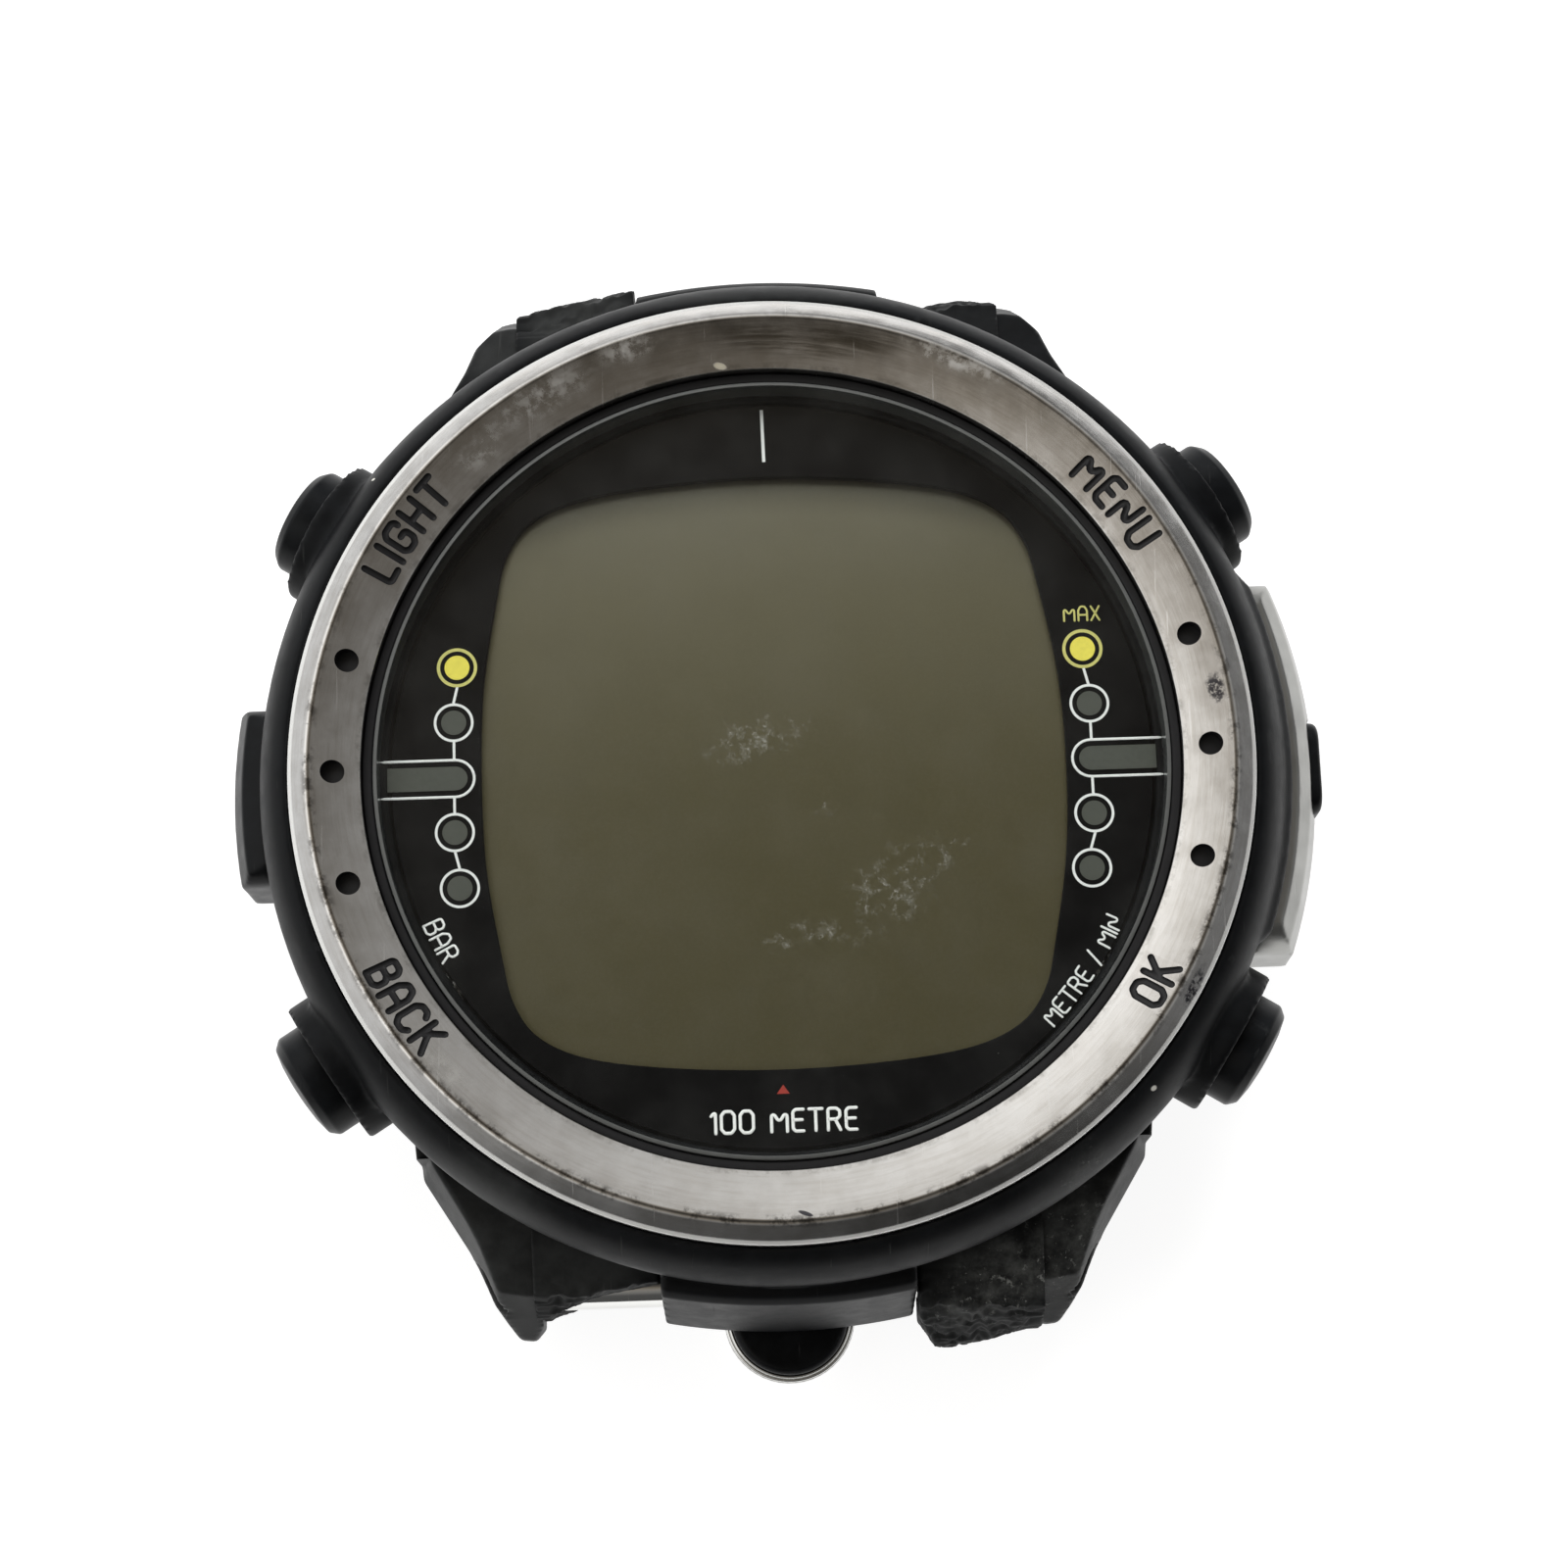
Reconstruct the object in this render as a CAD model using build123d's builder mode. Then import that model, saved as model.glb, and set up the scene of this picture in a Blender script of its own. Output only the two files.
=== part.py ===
"""Wrist dive computer, built as its separate pieces.

Frame: origin on the case axis at the flat outer face of the back plate, +Z out of
the display, +Y towards 12 o'clock, +X towards 3 o'clock. Millimetres.
"""

from math import cos, radians, sin, sqrt
import os

from build123d import *

os.makedirs("parts", exist_ok=True)

# ---------------------------------------------------------------- driving sizes
R_FLANGE = 25.3  # widest edge of the case flange
Z_FLANGE = 12.0  # height of that edge
R_BODY_TOP, R_BODY_LOW = 23.3, 22.5  # body below the flange
R_CAVITY = 17.9
Z_BEZEL_SEAT = 13.3
R_BEZEL_OUT, R_BEZEL_RIDGE, R_BEZEL_IN = 23.6, 22.6, 20.05
Z_BEZEL_EDGE, Z_BEZEL_RIDGE, Z_BEZEL_IN = 15.0, 15.72, 14.93
R_DOT_CIRCLE, R_DOT = 21.37, 0.58  # blind dots drilled in the bezel face
DOT_STEP = 15.07  # degrees between dots
Z_CRYSTAL, Z_CRYSTAL_TOP = 12.9, 14.6
R_CRYSTAL = 19.3
R_BACK, T_BACK = 21.4, 1.2

A_BUTTONS = {"ul": 148.0, "ur": 32.0, "ll": 212.0, "lr": 328.0}  # degrees from +X
Z_BUTTON = 9.5
D_BUTTON_FACE = 28.1  # outer face of a button cap, from the case axis
R_CAP = 2.8
R_WELL, D_WELL = 3.0, 24.3
R_BOSS, D_BOSS = 3.75, 26.3
R_STEM, R_BUSH_IN, R_BUSH_OUT = 0.9, 0.95, 1.7
D_STEM_END = 18.45
TRAVEL = 1.0
A_SCREWS = (90.0, 195.0, 345.0)  # module screws, clear of the switches

X_EAR = 12.2  # inner face of a strap ear
X_NOSE = 6.2  # side of the nose block between the ears
Y_BAR, Z_BAR = 24.5, 6.0  # strap screw axis, runs along X
R_SCREW_BORE = 0.75
R_TUBE = 1.1

CORNERS = {"ul": (-1, 1), "ur": (1, 1), "ll": (-1, -1), "lr": (1, -1)}


def polar(r, a):
    return (r * cos(radians(a)), r * sin(radians(a)))


def radial_plane(angle, d, z=Z_BUTTON):
    """Plane square to a radius at distance d from the case axis."""
    c, s = cos(radians(angle)), sin(radians(angle))
    return Plane(origin=(d * c, d * s, z), x_dir=(-s, c, 0), z_dir=(c, s, 0))


def axial_plane(angle, z=Z_BUTTON):
    """Plane holding a button's axis: its X runs outward, its Y is +Z."""
    c, s = cos(radians(angle)), sin(radians(angle))
    return Plane(origin=(0, 0, z), x_dir=(c, s, 0), z_dir=(s, -c, 0))


def button_axis(angle, z=Z_BUTTON):
    c, s = cos(radians(angle)), sin(radians(angle))
    return Axis((0, 0, z), (c, s, 0))


def save(builder, name):
    builder.part.label = name
    export_step(builder.part, f"parts/{name}.step")


# ---------------------------------------------------------------- case
with BuildPart() as case:
    # turned body: lower wall, undercut, flange, bezel seat, crystal ledge, cavity
    with BuildSketch(axial_plane(70, 0)):
        with BuildLine():
            Polyline(
                (R_BACK + 0.1, 0.35),
                (R_BODY_LOW - 0.5, 0.35),
                (R_BODY_LOW, 0.95),
                (R_BODY_TOP, 9.9),
                (R_BODY_TOP + 0.1, 10.6),
                (24.75, 11.1),
            )
            Spline(
                (24.75, 11.1),
                (R_FLANGE, Z_FLANGE),
                (25.05, 13.3),
                (24.45, 14.25),
                (23.78, 14.72),
            )
            Polyline(
                (23.78, 14.72),
                (23.66, 14.6),
                (23.66, Z_BEZEL_SEAT),
                (R_BEZEL_IN, Z_BEZEL_SEAT),
                (R_BEZEL_IN, Z_CRYSTAL),
                (R_CAVITY + 1.0, Z_CRYSTAL),
                (R_CAVITY + 1.0, 11.2),
                (R_CAVITY, 11.2),
                (R_CAVITY, 1.25),
                (R_BACK + 0.1, 1.25),
                (R_BACK + 0.1, 0.35),
            )
        make_face()
    revolve(axis=Axis.Z)
    # nose blocks at 12 and 6 o'clock, fuller towards the wrist
    for side in (1, -1):
        nose = Plane.YZ.offset(-X_NOSE)
        with BuildSketch(nose):
            with BuildLine():
                Polyline(
                    (side * 21.0, 3.4),
                    (side * 26.2, 3.4),
                    (side * 26.9, 4.2),
                    (side * 26.1, 11.0),
                    (side * 25.7, 11.5),
                    (side * 21.0, 11.5),
                    (side * 21.0, 3.4),
                )
            make_face()
        extrude(amount=2 * X_NOSE)
    # strap ears
    for sx, sy in CORNERS.values():
        with BuildSketch(Plane.XY.offset(3.0)):
            with BuildLine():
                Polyline(
                    (sx * X_EAR, sy * 18.5),
                    (sx * X_EAR, sy * 26.3),
                    (sx * 12.7, sy * 26.9),
                    (sx * 13.5, sy * 26.8),
                    (sx * 14.7, sy * 25.1),
                    (sx * 15.7, sy * 22.7),
                    (sx * 18.0, sy * 19.0),
                    (sx * 18.6, sy * 13.0),
                    (sx * X_EAR, sy * 18.5),
                )
            make_face()
        extrude(amount=6.5)
    # ears fall away towards the strap
    for sx, sy in CORNERS.values():
        with BuildSketch(Plane.YZ.offset(12.0 if sx > 0 else -19.5)):
            with BuildLine():
                Polyline(
                    (sy * 21.5, 9.55),
                    (sy * 25.0, 8.3),
                    (sy * 27.1, 3.6),
                    (sy * 30.0, 3.6),
                    (sy * 30.0, 9.8),
                    (sy * 21.5, 9.8),
                    (sy * 21.5, 9.55),
                )
            make_face()
        extrude(amount=7.5, mode=Mode.SUBTRACT)
    # button bosses
    for angle in A_BUTTONS.values():
        with BuildSketch(radial_plane(angle, 21.0)):
            Circle(R_BOSS)
        extrude(amount=D_BOSS - 21.0)
    # lands under the side covers, and the fuller flange above the right one
    with BuildSketch(Plane.XY.offset(3.6)):
        with BuildLine():
            l1 = CenterArc((0, 0), 25.2, -22, 44)
            l2 = Line(l1 @ 1, polar(20, 22))
            l3 = CenterArc((0, 0), 20, 22, -44)
            l4 = Line(l3 @ 1, l1 @ 0)
        make_face()
        with BuildLine():
            l1 = CenterArc((0, 0), 25.2, 168.5, 23)
            l2 = Line(l1 @ 1, polar(20, 191.5))
            l3 = CenterArc((0, 0), 20, 191.5, -23)
            l4 = Line(l3 @ 1, l1 @ 0)
        make_face()
    extrude(amount=7.8)
    with BuildSketch(Plane.XY.offset(11.45)):
        with BuildLine():
            l1 = CenterArc((0, 0), 25.8, -20, 40)
            l2 = Line(l1 @ 1, polar(24.4, 26))
            l3 = CenterArc((0, 0), 24.4, 26, -52)
            l4 = Line(l3 @ 1, l1 @ 0)
        make_face()
    extrude(amount=1.0)
    chamfer(case.edges().filter_by(GeomType.CIRCLE).filter_by(lambda e: abs(e.radius - 25.8) < 1e-3 and e.center().Z > 12.4), 0.45)
    # notch that the back plate's tongue passes through
    with BuildSketch(Plane.XY.offset(0.1)):
        with Locations((0, -22.9)):
            Rectangle(7.0, 3.4)
    extrude(amount=2.35, mode=Mode.SUBTRACT)
    # groove for the back seal, cut up into the closing face
    with BuildSketch(Plane.XY.offset(1.25)):
        Circle(19.35)
        Circle(18.35, mode=Mode.SUBTRACT)
    extrude(amount=0.9, mode=Mode.SUBTRACT)
    # tapped holes for the back screws
    with BuildSketch(Plane.XY.offset(1.25)):
        with PolarLocations(20.35, 4, start_angle=45):
            Circle(0.55)
    extrude(amount=3.4, mode=Mode.SUBTRACT)
    # button wells, bush bores and inner pockets
    for angle in A_BUTTONS.values():
        with BuildSketch(axial_plane(angle)):
            with BuildLine():
                Polyline(
                    (15.0, 0),
                    (15.0, 2.1),
                    (19.9, 2.1),
                    (19.9, R_BUSH_OUT),
                    (D_WELL, R_BUSH_OUT),
                    (D_WELL, R_WELL),
                    (D_BOSS - 0.25, R_WELL),
                    (D_BOSS + 0.1, R_WELL + 0.35),
                    (D_BOSS + 1.0, R_WELL + 0.35),
                    (D_BOSS + 1.0, 0),
                    (15.0, 0),
                )
            make_face()
        revolve(axis=button_axis(angle), mode=Mode.SUBTRACT)
    # strap screw bores: through each ear, blind in the nose, with a head recess outside
    for sx, sy in CORNERS.values():
        with BuildSketch(Plane(origin=(sx * 4.2, sy * Y_BAR, Z_BAR), x_dir=(0, 1, 0), z_dir=(sx, 0, 0))):
            Circle(R_SCREW_BORE)
        extrude(amount=14.0, mode=Mode.SUBTRACT)
        with BuildSketch(Plane(origin=(sx * 13.9, sy * Y_BAR, Z_BAR), x_dir=(0, 1, 0), z_dir=(sx, 0, 0))):
            Circle(1.35)
        extrude(amount=4.0, mode=Mode.SUBTRACT)
    # sensor bore at 9 o'clock and its two screw holes
    with BuildSketch(Plane(origin=(-17.0, 0, 7.5), x_dir=(0, 1, 0), z_dir=(-1, 0, 0))):
        Circle(2.2)
    extrude(amount=9.0, mode=Mode.SUBTRACT)
    for y in (3.35, -3.35):
        with BuildSketch(Plane(origin=(-22.0, y, 7.5), x_dir=(0, 1, 0), z_dir=(-1, 0, 0))):
            Circle(0.4)
        extrude(amount=4.5, mode=Mode.SUBTRACT)
    # contact block bore at 3 o'clock and the plate's two screw holes
    for y in (6.4, -6.4):
        with BuildSketch(Plane(origin=(21.3, y, 7.4), x_dir=(0, 1, 0), z_dir=(1, 0, 0))):
            Circle(0.45)
        extrude(amount=5.5, mode=Mode.SUBTRACT)
    with BuildSketch(Plane.YZ.offset(17.0)):
        with Locations((0, 7.6)):
            Rectangle(4.2, 3.6)
    extrude(amount=9.0, mode=Mode.SUBTRACT)
save(case, "case")

# ---------------------------------------------------------------- bezel and crystal stack
with BuildPart() as bezel:
    with BuildSketch(Plane.XZ):
        with BuildLine():
            Polyline(
                (R_BEZEL_IN, Z_BEZEL_SEAT),
                (R_BEZEL_OUT - 0.15, Z_BEZEL_SEAT),
                (R_BEZEL_OUT, Z_BEZEL_SEAT + 0.15),
                (R_BEZEL_OUT, Z_BEZEL_EDGE - 0.12),
                (R_BEZEL_OUT - 0.1, Z_BEZEL_EDGE),
                (R_BEZEL_RIDGE + 0.12, Z_BEZEL_RIDGE - 0.07),
                (R_BEZEL_RIDGE - 0.08, Z_BEZEL_RIDGE),
                (R_BEZEL_IN + 0.12, Z_BEZEL_IN + 0.02),
                (R_BEZEL_IN, Z_BEZEL_IN - 0.1),
                (R_BEZEL_IN, Z_BEZEL_SEAT),
            )
        make_face()
    revolve(axis=Axis.Z)
    for base in (0, 180):
        for k in (-1, 0, 1):
            x, y = polar(R_DOT_CIRCLE, base + k * DOT_STEP)
            with BuildSketch(Plane.XY.offset(14.65)):
                with Locations((x, y)):
                    Circle(R_DOT)
            extrude(amount=2.0, mode=Mode.SUBTRACT)
save(bezel, "bezel")

with BuildPart() as bezel_gasket:
    with BuildSketch(Plane.XZ):
        with BuildLine():
            Polyline(
                (19.53, Z_CRYSTAL + 0.02),
                (20.03, Z_CRYSTAL + 0.02),
                (20.03, 14.25),
                (19.9, 14.35),
                (19.6, 14.35),
                (19.53, 14.25),
                (19.53, Z_CRYSTAL + 0.02),
            )
        make_face()
    revolve(axis=Axis.Z)
save(bezel_gasket, "bezel_gasket")

with BuildPart() as crystal_seal:
    with BuildSketch(Plane.XZ):
        with BuildLine():
            Polyline(
                (R_CRYSTAL + 0.01, Z_CRYSTAL + 0.02),
                (19.51, Z_CRYSTAL + 0.02),
                (19.51, 14.45),
                (R_CRYSTAL + 0.01, 14.5),
                (R_CRYSTAL + 0.01, Z_CRYSTAL + 0.02),
            )
        make_face()
    revolve(axis=Axis.Z)
save(crystal_seal, "crystal_seal")

with BuildPart() as crystal:
    with BuildSketch(Plane.XY.offset(Z_CRYSTAL)):
        Circle(R_CRYSTAL)
    extrude(amount=Z_CRYSTAL_TOP - Z_CRYSTAL)
    chamfer(crystal.edges().group_by(Axis.Z)[-1], 0.15)
save(crystal, "crystal")

# printed mask under the crystal with the barrel-shaped display window
with BuildPart() as dial_mask:
    with BuildSketch(Plane.XY.offset(12.55)):
        Circle(18.75)
        with BuildLine():
            Spline(
                (0, 15.0), (10.0, 13.9), (12.4, 12.3), (13.3, 10.0), (14.45, 0),
                (13.3, -10.0), (12.4, -12.3), (10.0, -14.0), (0, -14.95),
                (-10.0, -14.0), (-12.4, -12.3), (-13.25, -10.0), (-14.3, 0),
                (-13.25, 10.0), (-12.4, 12.3), (-10.0, 13.9),
                periodic=True,
            )
        make_face(mode=Mode.SUBTRACT)
    extrude(amount=0.33)
save(dial_mask, "dial_mask")

with BuildPart() as lcd_glass:
    with BuildSketch(Plane.XY.offset(11.3)):
        RectangleRounded(30.4, 31.2, 3.0)
        Circle(18.6, mode=Mode.INTERSECT)
    extrude(amount=1.2)
    chamfer(lcd_glass.edges().group_by(Axis.Z)[-1], 0.1)
save(lcd_glass, "lcd_glass")

with BuildPart() as light_guide:
    with BuildSketch(Plane.XY.offset(10.55)):
        RectangleRounded(23.8, 23.4, 3.0)
    extrude(amount=0.7)
    with BuildSketch(Plane.XY.offset(10.55)):
        with Locations((11.4, 0), (-11.4, 0)):
            Rectangle(1.0, 3.0)
    extrude(amount=0.35, mode=Mode.SUBTRACT)
save(light_guide, "light_guide")

# frame that locates the display over the board
with BuildPart() as lcd_frame:
    with BuildSketch(Plane.XY.offset(9.4)):
        with Locations((0, 13.6), (0, -13.6)):
            Rectangle(24.0, 3.2)
        Circle(17.0, mode=Mode.INTERSECT)
        with Locations(polar(15.6, 90)):
            Circle(1.2, mode=Mode.SUBTRACT)
        with Locations((0, 13.2), (0, -13.2)):
            Rectangle(18.2, 1.6, mode=Mode.SUBTRACT)
    extrude(amount=1.6)
    with BuildSketch(Plane.XY.offset(11.0)):
        Circle(17.0)
        RectangleRounded(24.1, 24.3, 3.1, mode=Mode.SUBTRACT)
        with Locations((0, 13.2), (0, -13.2)):
            Rectangle(18.2, 1.6, mode=Mode.SUBTRACT)
    extrude(amount=0.27)
save(lcd_frame, "lcd_frame")

with BuildPart() as zebra_strips:
    with BuildSketch(Plane.XY.offset(9.35)):
        with Locations((0, 13.2), (0, -13.2)):
            Rectangle(18.0, 1.4)
    extrude(amount=1.9)
save(zebra_strips, "zebra_strips")

# ---------------------------------------------------------------- electronics
with BuildPart() as main_pcb:
    with BuildSketch(Plane.XY.offset(8.5)):
        Circle(17.1)
        for angle in A_SCREWS:
            with Locations(polar(15.6, angle)):
                Circle(0.6, mode=Mode.SUBTRACT)
        with Locations((16.9, 0), (-16.9, 0)):
            Rectangle(1.6, 4.8, mode=Mode.SUBTRACT)
    extrude(amount=0.8)
save(main_pcb, "main_pcb")

with BuildPart() as chips:
    with BuildSketch(Plane.XY.offset(9.3)):
        with Locations((-4.5, 2.0)):
            Rectangle(8.0, 8.0)
        with Locations((6.0, 4.0)):
            Rectangle(5.0, 4.0)
        with Locations((5.5, -5.0)):
            Rectangle(4.0, 6.0)
        with Locations((-6.5, -7.0)):
            Rectangle(6.0, 2.2)
    extrude(amount=0.9)
    chamfer(chips.edges().group_by(Axis.Z)[-1], 0.15)
save(chips, "chips")

# one side-push switch behind each button
with BuildPart() as switches:
    for angle in A_BUTTONS.values():
        with BuildSketch(radial_plane(angle, 15.1, 10.15)):
            Rectangle(2.6, 1.68)
        extrude(amount=1.4)
        with BuildSketch(radial_plane(angle, 16.5, 9.85)):
            Circle(0.5)
        extrude(amount=0.85)
save(switches, "switches")

with BuildPart() as module_frame:
    with BuildSketch(Plane.XY.offset(1.6)):
        Circle(17.2)
        Circle(12.6, mode=Mode.SUBTRACT)
        for angle in A_SCREWS:
            with Locations(polar(15.6, angle)):
                Circle(0.52, mode=Mode.SUBTRACT)
        with Locations((0, -14.95)):
            Circle(1.9, mode=Mode.SUBTRACT)
        with Locations((17.0, 0), (-17.0, 0)):
            Rectangle(2.4, 5.4, mode=Mode.SUBTRACT)
    extrude(amount=6.85)
    with BuildSketch(Plane.XY.offset(7.45)):
        Circle(13.0)
    extrude(amount=0.95)
    fillet(module_frame.edges().filter_by(GeomType.CIRCLE).filter_by(lambda e: abs(e.radius - 17.2) < 1e-3), 0.25)
save(module_frame, "module_frame")

with BuildPart() as battery:
    with BuildSketch(Plane.XZ):
        with BuildLine():
            Polyline(
                (0, 2.15), (11.0, 2.15), (11.3, 2.45), (12.1, 2.45), (12.25, 2.65),
                (12.25, 6.95), (12.05, 7.15), (0, 7.15), (0, 2.15),
            )
        make_face()
    revolve(axis=Axis.Z)
save(battery, "battery")

with BuildPart() as battery_contacts:
    with BuildSketch(Plane.XY.offset(7.2)):
        RectangleRounded(9.0, 3.0, 0.6)
    extrude(amount=0.22)
    with BuildSketch(Plane.XY.offset(1.9)):
        RectangleRounded(9.0, 3.0, 0.6)
    extrude(amount=0.22)
save(battery_contacts, "battery_contacts")

with BuildPart() as buzzer:
    with BuildSketch(Plane.XY.offset(1.8)):
        with Locations((0, -14.95)):
            Circle(1.8)
    extrude(amount=3.2)
    chamfer(buzzer.edges().group_by(Axis.Z)[0], 0.2)
save(buzzer, "buzzer")

with BuildPart() as module_screws:
    for angle in A_SCREWS:
        x, y = polar(15.6, angle)
        with BuildSketch(Plane(origin=(x, y, 0), x_dir=(1, 0, 0), z_dir=(0, -1, 0))):
            with BuildLine():
                Polyline(
                    (0, 5.0), (0.5, 5.0), (0.5, 9.31), (1.0, 9.31), (1.0, 9.75),
                    (0.85, 9.9), (0.45, 9.9), (0.45, 9.6), (0, 9.6), (0, 5.0),
                )
            make_face()
        revolve(axis=Axis((x, y, 0), (0, 0, 1)))
save(module_screws, "module_screws")

# depth sensor behind the 9 o'clock cover
with BuildPart() as pressure_sensor:
    with BuildSketch(Plane(origin=(0, 0, 7.5), x_dir=(-1, 0, 0), z_dir=(0, 1, 0))):
        with BuildLine():
            Polyline(
                (18.0, 0), (18.0, 1.6), (18.6, 1.6), (18.6, 2.15), (24.2, 2.15),
                (24.4, 1.95), (24.4, 1.2), (24.1, 1.2), (24.1, 0), (18.0, 0),
            )
        make_face()
    revolve(axis=Axis((0, 0, 7.5), (-1, 0, 0)))
save(pressure_sensor, "pressure_sensor")

# ---------------------------------------------------------------- side covers
with BuildPart() as sensor_cover:
    with BuildSketch(Plane.XZ):
        with BuildLine():
            Polyline(
                (25.25, 4.2), (26.2, 4.2), (26.9, 5.0), (27.0, 9.4), (26.4, 10.9),
                (25.25, 11.3), (25.25, 4.2),
            )
        make_face()
    revolve(axis=Axis.Z)
    with BuildSketch(Plane.YZ.offset(-30)):
        with Locations((0, 7.75)):
            RectangleRounded(9.0, 7.3, 1.6)
    extrude(amount=10, mode=Mode.INTERSECT)
    with BuildSketch(Plane.YZ.offset(-30)):
        with Locations((0, 7.5)):
            with GridLocations(1.3, 1.3, 3, 2):
                Circle(0.3)
    extrude(amount=10, mode=Mode.SUBTRACT)
    with BuildSketch(Plane.YZ.offset(-30)):
        with Locations((3.35, 7.5), (-3.35, 7.5)):
            Circle(0.42)
    extrude(amount=10, mode=Mode.SUBTRACT)
    with BuildSketch(Plane(origin=(-26.0, 0, 7.5), x_dir=(0, 1, 0), z_dir=(-1, 0, 0))):
        with Locations((3.35, 0), (-3.35, 0)):
            Circle(0.75)
    extrude(amount=3, mode=Mode.SUBTRACT)
save(sensor_cover, "sensor_cover")

with BuildPart() as sensor_cover_screws:
    for y in (3.35, -3.35):
        with BuildSketch(Plane(origin=(0, y, 7.5), x_dir=(-1, 0, 0), z_dir=(0, 1, 0))):
            with BuildLine():
                Polyline(
                    (23.0, 0), (23.0, 0.37), (26.02, 0.37), (26.02, 0.7),
                    (26.45, 0.7), (26.55, 0.6), (26.55, 0.3), (26.35, 0.3), (26.35, 0), (23.0, 0),
                )
            make_face()
        revolve(axis=Axis((0, y, 7.5), (-1, 0, 0)))
save(sensor_cover_screws, "sensor_cover_screws")

with BuildPart() as data_port_plate:
    with BuildSketch(Plane.XZ):
        with BuildLine():
            Polyline(
                (25.3, 3.9), (26.6, 3.9), (27.2, 4.7), (27.4, 6.0), (27.35, 8.8),
                (26.9, 10.4), (26.2, 11.2), (25.3, 11.3), (25.3, 3.9),
            )
        make_face()
    revolve(axis=Axis.Z)
    with BuildSketch(Plane.YZ.offset(18)):
        with Locations((0, 7.6)):
            RectangleRounded(19.0, 7.6, 2.2)
    extrude(amount=12, mode=Mode.INTERSECT)
    with BuildSketch(Plane.YZ.offset(18)):
        with Locations((0, 7.6)):
            RectangleRounded(4.9, 5.0, 1.2)
    extrude(amount=12, mode=Mode.SUBTRACT)
    with BuildSketch(Plane.YZ.offset(18)):
        with Locations((6.4, 7.4), (-6.4, 7.4)):
            Circle(0.5)
    extrude(amount=12, mode=Mode.SUBTRACT)
    with BuildSketch(Plane.YZ.offset(25.9)):
        with Locations((6.4, 7.4), (-6.4, 7.4)):
            Circle(1.05)
    extrude(amount=4, mode=Mode.SUBTRACT)
save(data_port_plate, "data_port_plate")

with BuildPart() as data_port_pad:
    with BuildSketch(Plane.YZ.offset(25.25)):
        with Locations((0, 7.6)):
            RectangleRounded(4.7, 4.8, 1.1)
    extrude(amount=2.3)
    fillet(data_port_pad.edges().group_by(Axis.X)[-1], 0.35)
    with BuildSketch(Plane.YZ.offset(18.2)):
        with Locations((0, 7.6)):
            Rectangle(4.1, 3.5)
    extrude(amount=7.2)
    with BuildSketch(Plane.YZ.offset(17)):
        with Locations((0, 7.6)):
            with Locations((-1.25, 0), (0, 0), (1.25, 0)):
                Circle(0.38)
    extrude(amount=12, mode=Mode.SUBTRACT)
save(data_port_pad, "data_port_pad")

with BuildPart() as data_contacts:
    with BuildSketch(Plane.YZ.offset(18.0)):
        with Locations((-1.25, 7.6), (0, 7.6), (1.25, 7.6)):
            Circle(0.36)
    extrude(amount=9.45)
    chamfer(data_contacts.edges().group_by(Axis.X)[-1], 0.08)
save(data_contacts, "data_contacts")

with BuildPart() as data_port_screws:
    for y in (6.4, -6.4):
        with BuildSketch(Plane(origin=(0, y, 7.4), x_dir=(1, 0, 0), z_dir=(0, -1, 0))):
            with BuildLine():
                Polyline(
                    (22.4, 0), (22.4, 0.42), (25.92, 0.42), (25.92, 1.0),
                    (26.3, 1.0), (26.45, 0.85), (26.45, 0.42), (26.15, 0.42), (26.15, 0), (22.4, 0),
                )
            make_face()
        revolve(axis=Axis((0, y, 7.4), (1, 0, 0)))
save(data_port_screws, "data_port_screws")

# ---------------------------------------------------------------- back
with BuildPart() as back_plate:
    with BuildSketch():
        Circle(R_BACK)
    extrude(amount=T_BACK)
    chamfer(back_plate.edges().group_by(Axis.Z)[0], 0.35)
    # shallow turned recess with a raised middle
    with BuildSketch():
        Circle(16.0)
        Circle(12.0, mode=Mode.SUBTRACT)
    extrude(amount=0.25, mode=Mode.SUBTRACT)
    # tongue at 6 o'clock, cranked up under the nose
    with BuildSketch(Plane.XY.offset(1.6)):
        with Locations((0, -26.0)):
            Circle(3.3)
        with Locations((0, -24.4)):
            Rectangle(6.6, 3.2)
    extrude(amount=0.7)
    with BuildSketch(Plane.XY.offset(0.35)):
        with Locations((0, -21.6)):
            Rectangle(6.6, 2.6)
    extrude(amount=0.75)
    with BuildSketch(Plane.XY.offset(0.35)):
        with Locations((0, -23.15)):
            Rectangle(6.6, 0.9)
    extrude(amount=1.95)
    with BuildSketch():
        with PolarLocations(20.35, 4, start_angle=45):
            Circle(0.65)
    extrude(amount=2.0, mode=Mode.SUBTRACT)
    with BuildSketch():
        with PolarLocations(20.35, 4, start_angle=45):
            Circle(0.97)
    extrude(amount=0.55, mode=Mode.SUBTRACT)
save(back_plate, "back_plate")

with BuildPart() as tongue_pad:
    with BuildSketch(Plane.XY.offset(2.3)):
        with Locations((0, -26.0)):
            Circle(2.95)
        with Locations((0, -25.0)):
            Rectangle(5.9, 2.0)
    extrude(amount=0.9)
    chamfer(tongue_pad.edges().group_by(Axis.Z)[-1], 0.25)
save(tongue_pad, "tongue_pad")

with BuildPart() as back_gasket:
    with BuildSketch(Plane.XZ):
        with Locations((18.85, 1.64)):
            Ellipse(0.47, 0.42)
    revolve(axis=Axis.Z)
save(back_gasket, "back_gasket")

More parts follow.
